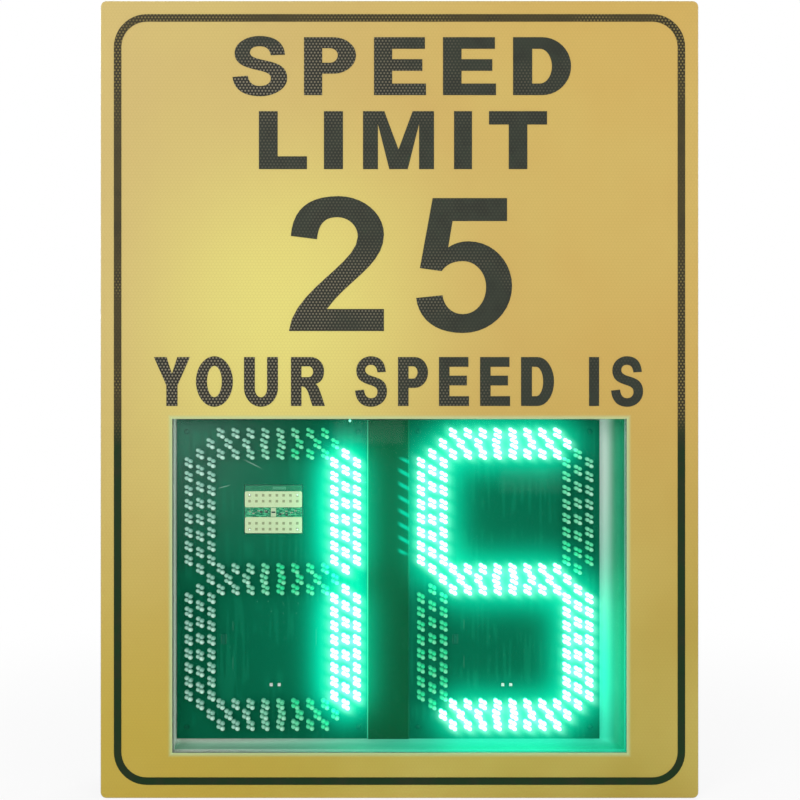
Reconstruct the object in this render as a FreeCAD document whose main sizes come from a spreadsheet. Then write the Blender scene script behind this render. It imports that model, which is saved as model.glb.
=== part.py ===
import FreeCAD, Part
import math
import os
import re
import Sketcher

# A radar speed sign: a reflective aluminium plate with a window, behind which two seven-segment
# digits of lamps and a radar module sit in a white tray, all closed in by a shallow cabinet with
# a rear cover and two slotted brackets for pole clamps. +Z is up, the face looks along -Y, and
# the origin is at the middle of the bottom of the whole sign.

SIZES = [
    ("sign_width", 600, "face, edge to edge"),
    ("sign_height", 800, "face, bottom to top"),
    ("corner_radius", 6, "corners of the plate and the cabinet"),
    ("plate_sheet", 3, "thickness of the sign plate"),
    ("film_sheet", 0.5, "thickness of the reflective film"),
    ("film_margin", 0.5, "film trimmed back from the plate's edge"),
    ("print_sheet", 0.3, "thickness of the black print"),
    ("border_inset", 13.5, "border stripe from the plate's edge"),
    ("border_width", 7.5, "width of the border stripe"),
    ("border_radius", 33, "outer corners of the border stripe"),
    ("window_sill", 45.5, "height of the window's lower edge"),
    ("gasket_sheet", 2, "pane gasket"),
    ("gasket_setback", 2, "gasket from the window's edge"),
    ("pane_sheet", 3, "thickness of the pane"),
    ("pane_lap", 12, "pane past the window's edge"),
    ("tray_sheet", 1.5, "sheet of the lamp tray"),
    ("tray_flange", 24, "width of the tray's flange"),
    ("tray_bend", 8, "inner bend between the tray's floor and walls"),
    ("tray_port_width", 60, "lead port in the tray's floor"),
    ("tray_port_height", 24, "lead port in the tray's floor"),
    ("tray_port_drop", 60, "lead port below the middle of its board"),
    ("tray_stud", 4, "diameter of the studs that hold the tray"),
    ("tray_stud_length", 13, "tray studs past the plate"),
    ("tray_stud_setback", 18, "line of tray studs from the window's edge"),
    ("tray_stud_end", 40, "first tray stud from the window's corner"),
    ("tray_nut_flats", 7, "tray nut across its flats"),
    ("tray_nut_height", 3.2, "tray nut"),
    ("hole_clearance", 0.4, "hole wider than the stud or screw in it"),
    ("lamp_clearance", 4, "lamp tips behind the pane"),
    ("lamp_height", 8.6, "lamps in front of their board"),
    ("board_sheet", 1.6, "thickness of a circuit board"),
    ("board_width", 195, "digit board"),
    ("board_height", 325, "digit board"),
    ("board_left_gap", 1, "left board from the window's left edge"),
    ("board_right_gap", 24, "right board from the window's right edge"),
    ("board_top_gap", 1.3, "boards from the window's top edge"),
    ("board_bottom_gap", 8.7, "boards from the window's bottom edge"),
    ("board_spacing", 41, "gap between the two boards"),
    ("spacer_length", 6, "digit boards in front of the tray's floor"),
    ("spacer_width", 6, "diameter of a board spacer"),
    ("board_screw", 3, "diameter of a board screw"),
    ("board_screw_head", 5.5, "diameter of its head"),
    ("board_screw_crown", 2, "height of its head"),
    ("board_screw_side", 10, "board screws from the board's sides"),
    ("board_screw_end", 12, "board screws from the board's ends"),
    ("pin_width", 3, "side of a supply pin on a digit board"),
    ("pin_height", 1.2, "supply pins in front of the board"),
    ("pin_spacing", 8.1, "between the two supply pins"),
    ("pin_aside", 2, "supply pins to the right of the digit's middle"),
    ("pin_rise", 29.7, "supply pins above the bottom segment"),
    ("strip_lap", 1.1, "centre strip over the edge of each board"),
    ("strip_sheet", 2, "thickness of the centre strip"),
    ("strip_bevel", 1.6, "bevel along the centre strip"),
    ("pixel_width", 7, "one pixel of four lamps"),
    ("pixel_side", 9, "upright side of a pixel"),
    ("pixel_drop", 1.9, "fall of a pixel from its left to its right side"),
    ("pixel_count", 8, "pixels in one row of a segment"),
    ("digit_aside", 0.8, "digit to the right of its board's middle"),
    ("digit_rise", 0.7, "digit above its board's middle"),
    ("segment_end", 24.8, "top and bottom segments from the board's ends"),
    ("segment_side", 23.5, "upright segments from the board's sides"),
    ("row_gap", 10.6, "between the rows of a level segment"),
    ("row_end", 21, "its outer rows from the upright segments"),
    ("row_end_middle", 10.8, "its middle row from the upright segments"),
    ("column_gap", 11.5, "between the columns of an upright segment"),
    ("column_end", 19.3, "its outer columns from the level segments"),
    ("column_end_middle", 10.4, "its middle column from the level segments"),
    ("radar_width", 58.6, "radar board"),
    ("radar_height", 49, "radar board"),
    ("radar_rise", 71.3, "radar above the middle of the left board"),
    ("radar_aside", 1, "radar to the right of the middle of the left board"),
    ("radar_gap", 0.6, "opening in the left board, past the radar board"),
    ("radar_post", 5, "diameter of a radar post"),
    ("radar_post_tip", 2.6, "diameter of its tip through the board"),
    ("radar_post_inset", 4.5, "radar posts from the radar board's sides"),
    ("aerial_width", 58.2, "aerial panel"),
    ("aerial_height", 16.2, "aerial panel"),
    ("aerial_corner", 1.6, "outer corners of an aerial panel"),
    ("aerial_sheet", 0.8, "thickness of an aerial panel"),
    ("aerial_spacing", 26.3, "between the two aerial panels"),
    ("aerial_drop", 2.9, "pair of panels below the middle of the radar board"),
    ("patch_side", 2.6, "aerial patch"),
    ("patch_sheet", 0.2, "aerial patch in front of its panel"),
    ("patch_pitch", 6.95, "patches along a panel"),
    ("patch_rise", 6, "between the two rows of patches"),
    ("patch_shift", 1.1, "patches off the middle of their panel, away from the other panel"),
    ("patch_count", 8, "patches in a row"),
    ("shield_width", 5.2, "shield can between the aerial panels"),
    ("shield_height", 9, "shield can"),
    ("shield_rise", 1.2, "shield can in front of the radar board"),
    ("cabinet_depth", 96, "plate to the outside of the rear wall"),
    ("cabinet_sheet", 1.5, "sheet of the cabinet"),
    ("cabinet_flange", 22, "front flange of the cabinet"),
    ("plate_stud", 5, "diameter of the studs that hold the cabinet and the equipment"),
    ("plate_stud_length", 9, "cabinet studs past the plate"),
    ("plate_stud_inset", 13, "cabinet studs from the plate's edge"),
    ("plate_stud_end", 62, "first cabinet stud from the plate's end"),
    ("plate_nut_flats", 8, "cabinet and equipment nuts across their flats"),
    ("plate_nut_height", 4, "cabinet and equipment nuts"),
    ("access_width", 440, "rear opening"),
    ("access_sill", 160, "rear opening from the sign's bottom and top"),
    ("cover_lap", 28, "rear cover past the opening"),
    ("cover_sheet", 2, "sheet of the rear cover"),
    ("cover_rise", 10, "raised middle of the rear cover"),
    ("cover_rim", 40, "flat rim of the rear cover"),
    ("cover_bevel", 6, "bevel round the raised middle"),
    ("cover_radius", 10, "corners of the rear cover"),
    ("cover_gasket_sheet", 2, "foam gasket under the rear cover"),
    ("cover_gasket_width", 12, "foam gasket under the rear cover"),
    ("cover_screw", 5, "diameter of a cover screw"),
    ("cover_screw_length", 14, "cover screw under its head"),
    ("cover_screw_head", 9.5, "diameter of its head"),
    ("cover_screw_crown", 2.8, "height of its head"),
    ("cover_screw_inset", 9, "cover screws from the cover's edge"),
    ("bracket_length", 460, "rear bracket"),
    ("bracket_sheet", 3, "sheet of a rear bracket"),
    ("bracket_web", 50, "height of a bracket's web"),
    ("bracket_foot", 18, "foot above and below the web"),
    ("bracket_standoff", 26, "bracket behind the rear wall"),
    ("bracket_bend", 3, "inner bend of a bracket"),
    ("bracket_level", 80, "brackets from the sign's bottom and top"),
    ("slot_width", 11, "slot for a pole clamp"),
    ("slot_length", 30, "slot for a pole clamp"),
    ("slot_spacing", 120, "between the two slots of a bracket"),
    ("bracket_bolt", 6, "diameter of a bracket bolt"),
    ("bracket_bolt_flats", 10, "bracket bolt and nut across their flats"),
    ("bracket_bolt_crown", 4, "head of a bracket bolt"),
    ("bracket_nut_height", 5, "nut of a bracket bolt"),
    ("bracket_bolt_tail", 2, "bracket bolt past its nut"),
    ("bracket_bolt_inset", 30, "bracket bolts from the bracket's ends"),
    ("gland_side", 38, "cable gland from the sign's right edge"),
    ("gland_level", 70, "height of the cable gland"),
    ("gland_thread", 20, "thread of the cable gland"),
    ("gland_wall", 2.5, "wall of the gland's tail"),
    ("gland_flats", 24, "gland collar across its flats"),
    ("gland_collar", 6, "thickness of the gland's collar"),
    ("gland_neck", 10, "gland neck past its collar"),
    ("gland_cap", 17, "length of the gland's cap"),
    ("gland_cap_width", 23, "diameter of the gland's cap"),
    ("gland_cap_mouth", 12, "hole in the end of the gland's cap"),
    ("gland_cable", 9, "hole for the cable through the seal"),
    ("gland_tail", 10, "gland tail inside the cabinet"),
    ("gland_nut_width", 27, "gland lock nut"),
    ("gland_nut_height", 5, "gland lock nut"),
    ("equipment_width", 420, "equipment plate"),
    ("equipment_height", 250, "equipment plate"),
    ("equipment_sheet", 1.5, "thickness of the equipment plate"),
    ("equipment_inset", 12, "its studs from its edges"),
    ("equipment_post", 10, "diameter of the posts that carry it"),
    ("equipment_post_length", 25, "equipment plate behind the sign plate"),
    ("stud_spare", 2, "studs past their nuts"),
    ("supply_length", 159, "power supply"),
    ("supply_width", 97, "power supply"),
    ("supply_height", 30, "power supply"),
    ("supply_margin", 26, "power supply from the equipment plate's side"),
    ("supply_bay", 18, "terminal bay at the lower end of the power supply"),
    ("supply_bay_depth", 16, "terminal bay"),
    ("supply_terminal", 12, "terminal strip in the bay, front to back"),
    ("supply_terminal_gap", 6, "terminal strip from the sides of the bay"),
    ("controller_width", 150, "controller board"),
    ("controller_height", 110, "controller board"),
    ("controller_margin", 26, "controller from the equipment plate's side"),
    ("controller_post", 6, "diameter of a controller post"),
    ("controller_post_length", 8, "controller behind the equipment plate"),
    ("controller_post_inset", 6, "controller posts from its edges"),
    ("processor_side", 20, "processor on the controller"),
    ("processor_rise", 2.2, "processor on the controller"),
    ("terminal_length", 70, "terminal strip on the controller"),
    ("terminal_width", 11, "terminal strip on the controller"),
    ("terminal_rise", 14, "terminal strip on the controller"),
    ("terminal_inset", 8, "terminal strip from the controller's lower edge"),
]

doc = FreeCAD.newDocument("RadarSpeedSign")
dims = doc.addObject("Spreadsheet::Sheet", "Dims")
for row, (alias, number, meaning) in enumerate(SIZES, start=1):
    dims.set(f"A{row}", alias)
    dims.set(f"B{row}", str(number))
    dims.setAlias(f"B{row}", alias)
    dims.set(f"C{row}", meaning)
doc.recompute()

SIZE_NAME = re.compile(r"\b(" + "|".join(alias for alias, number, meaning in SIZES) + r")\b")
ALONG_X = FreeCAD.Vector(1, 0, 0)
TOUCH = 0.01
ROUGH_STEP = 4
sub_parts = []


def size(alias):
    """The number in a size's cell."""
    return float(dims.get(alias))


def bind(thing, setting, text):
    """Tie one property to the sheet; the text names sizes and joins them with sums."""
    thing.setExpression(setting, SIZE_NAME.sub(r"Dims.\1", text))


def origin_feature(body, role):
    """A plane or an axis of the body's own origin."""
    return next(feature for feature in body.Origin.OriginFeatures if feature.Role == role)


def new_piece(label, y, x="0", z="0"):
    """An empty body at its place, kept as a sub-part; y is where its front face lies."""
    body = doc.addObject("PartDesign::Body", label)
    body.Label = label
    bind(body, "Placement.Base.x", x)
    bind(body, "Placement.Base.y", y)
    bind(body, "Placement.Base.z", z)
    sub_parts.append(body)
    return body


def new_sketch(body, depth, role):
    """A sketch on a plane of the body, set back by a depth from its front."""
    sketch = body.newObject("Sketcher::SketchObject", body.Label + "_sketch")
    sketch.AttachmentSupport = (origin_feature(body, role), [""])
    sketch.MapMode = "FlatFace"
    bind(sketch, "AttachmentOffset.Base.z", f"-({depth})")
    return sketch


def finish_sketch(sketch, links, ties):
    """Add the links between curves, then tie each measure of the sketch to the sheet."""
    sketch.addConstraint(links + [tie for tie, text in ties])
    for datum, (tie, text) in enumerate(ties, start=len(links)):
        bind(sketch, f"Constraints[{datum}]", text)
    return sketch


def point_ties(curve, end, rough, across, up):
    """The two measures that place one point of a curve from the sketch's origin."""
    return [
        (Sketcher.Constraint("DistanceX", -1, 1, curve, end, rough.x), across),
        (Sketcher.Constraint("DistanceY", -1, 1, curve, end, rough.y), up),
    ]


def polygons(body, outlines, depth="0", role="XZ_Plane"):
    """A sketch of closed outlines; every corner is placed from the origin by the sheet."""
    sketch = new_sketch(body, depth, role)
    links = []
    ties = []
    for place, corners in enumerate(outlines):
        count = len(corners)
        turn = 2 * math.pi / count
        rough = [
            FreeCAD.Vector(math.cos(turn * i) + ROUGH_STEP * place, math.sin(turn * i), 0)
            for i in range(count)
        ]
        lines = sketch.addGeometry(
            [Part.LineSegment(rough[i], rough[(i + 1) % count]) for i in range(count)]
        )
        for i, line in enumerate(lines):
            links.append(Sketcher.Constraint("Coincident", line, 2, lines[(i + 1) % count], 1))
            ties.extend(point_ties(line, 1, rough[i], *corners[i]))
    return finish_sketch(sketch, links, ties)


def circles(body, centres, diameter, depth="0"):
    """A sketch of equal circles at places given by the sheet."""
    sketch = new_sketch(body, depth, "XZ_Plane")
    ties = []
    for place, (across, up) in enumerate(centres):
        rough = FreeCAD.Vector(ROUGH_STEP * place, 0, 0)
        circle = sketch.addGeometry(Part.Circle(rough, FreeCAD.Vector(0, 0, 1), 1))
        ties.extend(point_ties(circle, 3, rough, across, up))
        ties.append((Sketcher.Constraint("Diameter", circle, 2.0), diameter))
    return finish_sketch(sketch, [], ties)


def rounded(body, corners, radius, depth="0"):
    """A sketch of one rectangle with round corners, placed by the middles of its arcs."""
    sketch = new_sketch(body, depth, "XZ_Plane")
    links = []
    ties = []
    arcs = []
    for i, (across_sign, up_sign) in enumerate([(1, 1), (-1, 1), (-1, -1), (1, -1)]):
        rough = FreeCAD.Vector(-ROUGH_STEP * across_sign, -ROUGH_STEP * up_sign, 0)
        circle = Part.Circle(rough, FreeCAD.Vector(0, 0, 1), 1)
        start = math.pi * (1 + i / 2)
        arcs.append(sketch.addGeometry(Part.ArcOfCircle(circle, start, start + math.pi / 2)))
        across, up = corners[i]
        middle = f"{across} + {across_sign} * ({radius})", f"{up} + {up_sign} * ({radius})"
        ties.extend(point_ties(arcs[i], 3, rough, *middle))
        ties.append((Sketcher.Constraint("Radius", arcs[i], 1.0), radius))
    for i, arc in enumerate(arcs):
        following = arcs[(i + 1) % len(arcs)]
        ends = sketch.Geometry[arc].EndPoint, sketch.Geometry[following].StartPoint
        line = sketch.addGeometry(Part.LineSegment(*ends))
        links.append(Sketcher.Constraint("Tangent", arc, 2, line, 1))
        links.append(Sketcher.Constraint("Tangent", line, 2, following, 1))
    return finish_sketch(sketch, links, ties)


def rectangle(left, right, bottom, top):
    """The corners of an upright rectangle."""
    return [(left, bottom), (right, bottom), (right, top), (left, top)]


def hexagon(centre, flats):
    """The corners of a hexagon given across its flats."""
    across, up = centre
    reach = f"({flats}) / 2 / cos(30)"
    return [
        (f"{across} + {reach} * cos({60 * i})", f"{up} + {reach} * sin({60 * i})") for i in range(6)
    ]


def pad(body, sketch, length):
    """Thicken a sketch towards the back."""
    feature = body.newObject("PartDesign::Pad", body.Label + "_pad")
    feature.Profile = sketch
    feature.Reversed = True
    bind(feature, "Length", length)
    return settle(feature)


def pocket(body, sketch, length):
    """Cut a sketch away towards the back; the body has to lose volume by it."""
    before = body.Shape.Volume
    feature = body.newObject("PartDesign::Pocket", body.Label + "_pocket")
    feature.Profile = sketch
    bind(feature, "Length", length)
    settle(feature)
    if body.Shape.Volume >= before - TOUCH:
        raise RuntimeError(body.Label + ": a pocket cuts nothing")
    return feature


def dress(body, kind, setting, base, edges, amount):
    """Round or bevel edges of the last feature."""
    feature = body.newObject("PartDesign::" + kind, body.Label + "_" + kind.lower())
    feature.Base = (base, edges)
    bind(feature, setting, amount)
    return settle(feature)


def fillet(body, base, edges, radius):
    """Round edges of the last feature."""
    return dress(body, "Fillet", "Radius", base, edges, radius)


def chamfer(body, base, edges, width):
    """Bevel edges of the last feature."""
    return dress(body, "Chamfer", "Size", base, edges, width)


def settle(feature):
    """Work out the feature, so that the next one can read it."""
    doc.recompute()
    return feature


def pick_edges(feature, keep):
    """Names of the straight edges that pass a test on their direction and middle."""
    names = []
    for number, edge in enumerate(feature.Shape.Edges, start=1):
        if edge.Curve.TypeId != "Part::GeomLine":
            continue
        direction = edge.tangentAt(edge.FirstParameter)
        if keep(direction, edge.CenterOfMass):
            names.append(f"Edge{number}")
    return names


def grid(xs, zs):
    """Every pairing of the places across with the places up."""
    return [(x, z) for z in zs for x in xs]


# Depths of the stack, from the print on the face to the bracket behind.
PRINT_FRONT = "-(print_sheet + film_sheet + plate_sheet + cabinet_depth + bracket_standoff) / 2"
FILM_FRONT = PRINT_FRONT + " + print_sheet"
PLATE_FRONT = FILM_FRONT + " + film_sheet"
PLATE_BACK = PLATE_FRONT + " + plate_sheet"
PANE_FRONT = PLATE_BACK + " + gasket_sheet"
TRAY_FRONT = PANE_FRONT + " + pane_sheet"
LAMP_TIP = TRAY_FRONT + " + lamp_clearance"
BOARD_FRONT = LAMP_TIP + " + lamp_height"
BOARD_BACK = BOARD_FRONT + " + board_sheet"
EQUIPMENT_FRONT = PLATE_BACK + " + equipment_post_length"
EQUIPMENT_BACK = EQUIPMENT_FRONT + " + equipment_sheet"
CONTROLLER_FRONT = EQUIPMENT_BACK + " + controller_post_length"
CONTROLLER_BACK = CONTROLLER_FRONT + " + board_sheet"
REAR_WALL = PLATE_BACK + " + cabinet_depth"
COVER_FRONT = REAR_WALL + " + cover_gasket_sheet"

# Places shared by pieces that meet; the window is as large as the two boards need.
WINDOW_WIDTH = "(board_left_gap + 2 * board_width + board_spacing + board_right_gap)"
WINDOW_LEFT = f"-{WINDOW_WIDTH} / 2"
WINDOW_RIGHT = f"{WINDOW_WIDTH} / 2"
WINDOW_TOP = "window_sill + board_bottom_gap + board_height + board_top_gap"
BOARD_MIDDLE = "window_sill + board_bottom_gap + board_height / 2"
LEFT_BOARD = WINDOW_LEFT + " + board_left_gap + board_width / 2"
RIGHT_BOARD = LEFT_BOARD + " + board_width + board_spacing"
BOARDS = {"left": LEFT_BOARD, "right": RIGHT_BOARD}
DIGIT_MIDDLE = BOARD_MIDDLE + " + digit_rise"
SEGMENT_RISE = "(board_height / 2 - segment_end)"
SEGMENT_SPAN = "(board_width - 2 * segment_side)"
RADAR_MIDDLE = LEFT_BOARD + " + radar_aside"
RADAR_LEVEL = BOARD_MIDDLE + " + radar_rise"
TRAY_DEPTH = "lamp_clearance + lamp_height + board_sheet + spacer_length + tray_sheet"
EQUIPMENT_MIDDLE = f"({WINDOW_TOP} + tray_flange + sign_height) / 2"
ACCESS_TOP = "sign_height - access_sill"
BRACKET_LEVELS = {"lower": "bracket_level", "upper": "sign_height - bracket_level"}
GLAND = ("sign_width / 2 - gland_side", "gland_level")
SIDE_STUDS = 4
TRAY_ROW_STUDS = 4
COVER_SIDE_SCREWS = 4


def around_window(reach):
    """The window's rectangle, grown by a reach on every side."""
    return rectangle(
        f"{WINDOW_LEFT} - ({reach})",
        f"{WINDOW_RIGHT} + ({reach})",
        f"window_sill - ({reach})",
        f"{WINDOW_TOP} + ({reach})",
    )


def around_access(reach):
    """The rear opening's rectangle, grown by a reach on every side."""
    return rectangle(
        f"-access_width / 2 - ({reach})",
        f"access_width / 2 + ({reach})",
        f"access_sill - ({reach})",
        f"{ACCESS_TOP} + ({reach})",
    )


def inside_face(inset):
    """The face's rectangle, set in on every side."""
    return rectangle(
        f"-sign_width / 2 + ({inset})",
        f"sign_width / 2 - ({inset})",
        f"{inset}",
        f"sign_height - ({inset})",
    )


def plate_stud_places():
    """Studs along the cabinet's flange: a row up each side, two along the top and the bottom."""
    side = "sign_width / 2 - plate_stud_inset"
    step = f"(sign_height - 2 * plate_stud_end) / {SIDE_STUDS - 1}"
    across = f"({side}) / 2"
    sides = grid([f"-({side})", side], [f"plate_stud_end + {i} * {step}" for i in range(SIDE_STUDS)])
    ends = grid([f"-({across})", across], ["plate_stud_inset", "sign_height - plate_stud_inset"])
    return sides + ends


def tray_stud_places():
    """Studs along the tray's flange: a row above, a row below, two on each side."""
    side = f"{WINDOW_RIGHT} + tray_stud_setback"
    first = f"{WINDOW_RIGHT} - tray_stud_end"
    step = f"2 * ({first}) / {TRAY_ROW_STUDS - 1}"
    across = [f"-({first}) + {i} * {step}" for i in range(TRAY_ROW_STUDS)]
    rows = ["window_sill - tray_stud_setback", WINDOW_TOP + " + tray_stud_setback"]
    heights = ["window_sill + 2 * tray_stud_end", WINDOW_TOP + " - 2 * tray_stud_end"]
    return grid(across, rows) + grid([f"-({side})", side], heights)


def equipment_stud_places():
    """Studs at the corners of the equipment plate."""
    across = "equipment_width / 2 - equipment_inset"
    up = "equipment_height / 2 - equipment_inset"
    return grid(
        [f"-({across})", across],
        [f"{EQUIPMENT_MIDDLE} - ({up})", f"{EQUIPMENT_MIDDLE} + ({up})"],
    )


def board_screw_places(middle):
    """Screws near the corners of one digit board."""
    across = "board_width / 2 - board_screw_side"
    up = "board_height / 2 - board_screw_end"
    return grid(
        [f"{middle} - ({across})", f"{middle} + ({across})"],
        [f"{BOARD_MIDDLE} - ({up})", f"{BOARD_MIDDLE} + ({up})"],
    )


def radar_post_places():
    """Posts of the radar board, two behind each aerial panel."""
    across = "radar_width / 2 - radar_post_inset"
    up = "aerial_spacing / 2"
    return grid([f"-({across})", across], [f"-aerial_drop - {up}", f"-aerial_drop + {up}"])


def cover_screw_places():
    """Screws round the rear cover's rim: a row up each side, one between along each end."""
    side = "access_width / 2 + cover_lap - cover_screw_inset"
    first = "access_sill - cover_lap + cover_screw_inset"
    step = f"(sign_height - 2 * ({first})) / {COVER_SIDE_SCREWS - 1}"
    levels = [f"{first} + {i} * {step}" for i in range(COVER_SIDE_SCREWS)]
    return grid([f"-({side})", side], levels) + grid(["0"], [levels[0], levels[-1]])


def bracket_bolt_places(level):
    """Bolts through the two feet of one bracket, near its ends."""
    across = "bracket_length / 2 - bracket_bolt_inset"
    up = "bracket_web / 2 + bracket_foot / 2"
    return grid([f"-({across})", across], [f"{level} - ({up})", f"{level} + ({up})"])


def controller_post_places():
    """Posts at the corners of the controller board."""
    across = "controller_width / 2 - controller_post_inset"
    up = "controller_height / 2 - controller_post_inset"
    middle = "equipment_width / 2 - controller_margin - controller_width / 2"
    return grid(
        [f"{middle} - ({across})", f"{middle} + ({across})"],
        [f"{EQUIPMENT_MIDDLE} - ({up})", f"{EQUIPMENT_MIDDLE} + ({up})"],
    )


def nuts(label, places, y, flats, bore, height):
    """Hexagon nuts in one group, each with its bore."""
    body = new_piece(label, y)
    for place in places:
        pad(body, polygons(body, [hexagon(place, flats)]), height)
    pocket(body, circles(body, places, bore), height)


def rods(label, places, y, diameter, length, bore=None):
    """Round posts in one group, bored through where a stud or screw passes."""
    body = new_piece(label, y)
    pad(body, circles(body, places, diameter), length)
    if bore:
        pocket(body, circles(body, places, bore), length)
    return body


# The face: film and print on the sign plate.

def make_film():
    film = new_piece("reflective_sheet", FILM_FRONT)
    pad(film, rounded(film, inside_face("film_margin"), "corner_radius - film_margin"), "film_sheet")
    pocket(film, polygons(film, [around_window("0")]), "film_sheet")


def make_border():
    border = new_piece("border_stripe", PRINT_FRONT)
    pad(border, rounded(border, inside_face("border_inset"), "border_radius"), "print_sheet")
    hollow = inside_face("border_inset + border_width")
    pocket(border, rounded(border, hollow, "border_radius - border_width"), "print_sheet")


def make_plate():
    plate = new_piece("sign_plate", PLATE_FRONT)
    pad(plate, rounded(plate, inside_face("0"), "corner_radius"), "plate_sheet")
    pocket(plate, polygons(plate, [around_window("0")]), "plate_sheet")
    equipment_stud = "equipment_post_length + equipment_sheet + plate_nut_height + stud_spare"
    for places, diameter, length in (
        (plate_stud_places(), "plate_stud", "plate_stud_length"),
        (tray_stud_places(), "tray_stud", "tray_stud_length"),
        (equipment_stud_places(), "plate_stud", equipment_stud),
    ):
        pad(plate, circles(plate, places, diameter, "plate_sheet"), length)


# The window: pane, gasket and the tray that clamps them to the plate.

def make_window():
    gasket = new_piece("window_gasket", PLATE_BACK)
    ring = [around_window("pane_lap"), around_window("gasket_setback")]
    pad(gasket, polygons(gasket, ring), "gasket_sheet")
    pane = new_piece("window_pane", PANE_FRONT)
    pad(pane, polygons(pane, [around_window("pane_lap")]), "pane_sheet")


def make_tray():
    tray = new_piece("lamp_tray", TRAY_FRONT)
    back = sum(size(part) for part in TRAY_DEPTH.split(" + "))

    def at_back(direction, middle):
        return abs(middle.y - back) < TOUCH

    block = pad(tray, polygons(tray, [around_window("tray_sheet")]), TRAY_DEPTH)
    block = fillet(tray, block, pick_edges(block, at_back), "tray_bend + tray_sheet")
    mouth = [f"Face{i}" for i, face in enumerate(block.Shape.Faces, start=1) if face.CenterOfMass.y < TOUCH]
    hollow = tray.newObject("PartDesign::Thickness", "lamp_tray_walls")
    hollow.Base = (block, mouth)
    hollow.Reversed = True
    bind(hollow, "Value", "tray_sheet")
    settle(hollow)
    flange = [around_window("tray_flange"), around_window("tray_sheet / 2")]
    pad(tray, polygons(tray, flange), "tray_sheet")
    pocket(tray, circles(tray, tray_stud_places(), "tray_stud + hole_clearance"), "tray_sheet")
    ports = []
    for middle in BOARDS.values():
        level = f"{BOARD_MIDDLE} - tray_port_drop"
        ports.append(
            rectangle(
                f"{middle} - tray_port_width / 2",
                f"{middle} + tray_port_width / 2",
                f"{level} - tray_port_height / 2",
                f"{level} + tray_port_height / 2",
            )
        )
    pocket(tray, polygons(tray, ports), TRAY_DEPTH)
    screws = board_screw_places(LEFT_BOARD) + board_screw_places(RIGHT_BOARD)
    pocket(tray, circles(tray, screws, "board_screw"), TRAY_DEPTH)
    nuts(
        "tray_nuts",
        tray_stud_places(),
        TRAY_FRONT + " + tray_sheet",
        "tray_nut_flats",
        "tray_stud",
        "tray_nut_height",
    )


# The display: two digit boards, their lamps and the strip between them.

def make_board(side, middle):
    board = new_piece("digit_board_" + side, BOARD_FRONT, middle, BOARD_MIDDLE)
    outline = rectangle("-board_width / 2", "board_width / 2", "-board_height / 2", "board_height / 2")
    pad(board, polygons(board, [outline]), "board_sheet")
    across = "board_width / 2 - board_screw_side"
    up = "board_height / 2 - board_screw_end"
    corners = grid([f"-({across})", across], [f"-({up})", up])
    pocket(board, circles(board, corners, "board_screw + hole_clearance"), "board_sheet")
    if side == "left":
        half_width = "radar_width / 2 + radar_gap"
        half_height = "radar_height / 2 + radar_gap"
        opening = rectangle(
            f"radar_aside - ({half_width})",
            f"radar_aside + ({half_width})",
            f"radar_rise - ({half_height})",
            f"radar_rise + ({half_height})",
        )
        pocket(board, polygons(board, [opening]), "board_sheet")


def make_pins():
    pins = new_piece("supply_pins", BOARD_FRONT + " - pin_height")
    squares = []
    for middle in BOARDS.values():
        for side in (-1, 1):
            across = f"{middle} + digit_aside + pin_aside + {side} * pin_spacing / 2"
            up = f"{DIGIT_MIDDLE} - {SEGMENT_RISE} + pin_rise"
            squares.append(
                rectangle(
                    f"{across} - pin_width / 2",
                    f"{across} + pin_width / 2",
                    f"{up} - pin_width / 2",
                    f"{up} + pin_width / 2",
                )
            )
    pad(pins, polygons(pins, squares), "pin_height")


def make_board_fixings():
    places = board_screw_places(LEFT_BOARD) + board_screw_places(RIGHT_BOARD)
    rods("board_spacers", places, BOARD_BACK, "spacer_width", "spacer_length", "board_screw")
    screws = rods(
        "board_screws", places, BOARD_FRONT + " - board_screw_crown", "board_screw_head", "board_screw_crown"
    )
    shank = "board_sheet + spacer_length + tray_sheet"
    pad(screws, circles(screws, places, "board_screw", "board_screw_crown"), shank)


def make_strip():
    half_width = "board_spacing / 2 + strip_lap"
    middle = f"{LEFT_BOARD} + board_width / 2 + board_spacing / 2"
    strip = new_piece("centre_strip", BOARD_FRONT + " - strip_sheet", middle, BOARD_MIDDLE)
    outline = rectangle(f"-({half_width})", half_width, "-board_height / 2", "board_height / 2")
    bar = pad(strip, polygons(strip, [outline]), "strip_sheet")

    def long_front(direction, middle):
        return abs(middle.y) < TOUCH and abs(middle.z) < TOUCH

    chamfer(strip, bar, pick_edges(bar, long_front), "strip_bevel")


def make_segment(label, x, z, upright):
    """Three rows of pixels; the middle row is the longer one and gives the pointed ends."""
    segment = new_piece(label, LAMP_TIP, x, z)
    row = "column" if upright else "row"
    length = SEGMENT_RISE if upright else SEGMENT_SPAN
    axis = origin_feature(segment, "Z_Axis" if upright else "X_Axis")
    for place in (-1, 0, 1):
        end = f"{row}_end" if place else f"{row}_end_middle"
        start = f"-{length} / 2 + {end}"
        step = f"({length} - 2 * {end}) / (pixel_count - 1)"
        aside = f"{place} * {row}_gap"
        across, up = (aside, start) if upright else (start, aside)
        outline = [
            (f"{across} - pixel_width / 2", f"{up} - pixel_side / 2 + pixel_drop / 2"),
            (f"{across} + pixel_width / 2", f"{up} - pixel_side / 2 - pixel_drop / 2"),
            (f"{across} + pixel_width / 2", f"{up} + pixel_side / 2 - pixel_drop / 2"),
            (f"{across} - pixel_width / 2", f"{up} + pixel_side / 2 + pixel_drop / 2"),
        ]
        pixel = pad(segment, polygons(segment, [outline]), "lamp_height")
        run = segment.newObject("PartDesign::LinearPattern", label + "_row")
        run.Originals = [pixel]
        run.Direction = (axis, [""])
        run.Mode = "Spacing"
        bind(run, "Offset", step)
        bind(run, "Occurrences", "pixel_count")
        segment.Tip = run
        settle(run)


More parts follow.
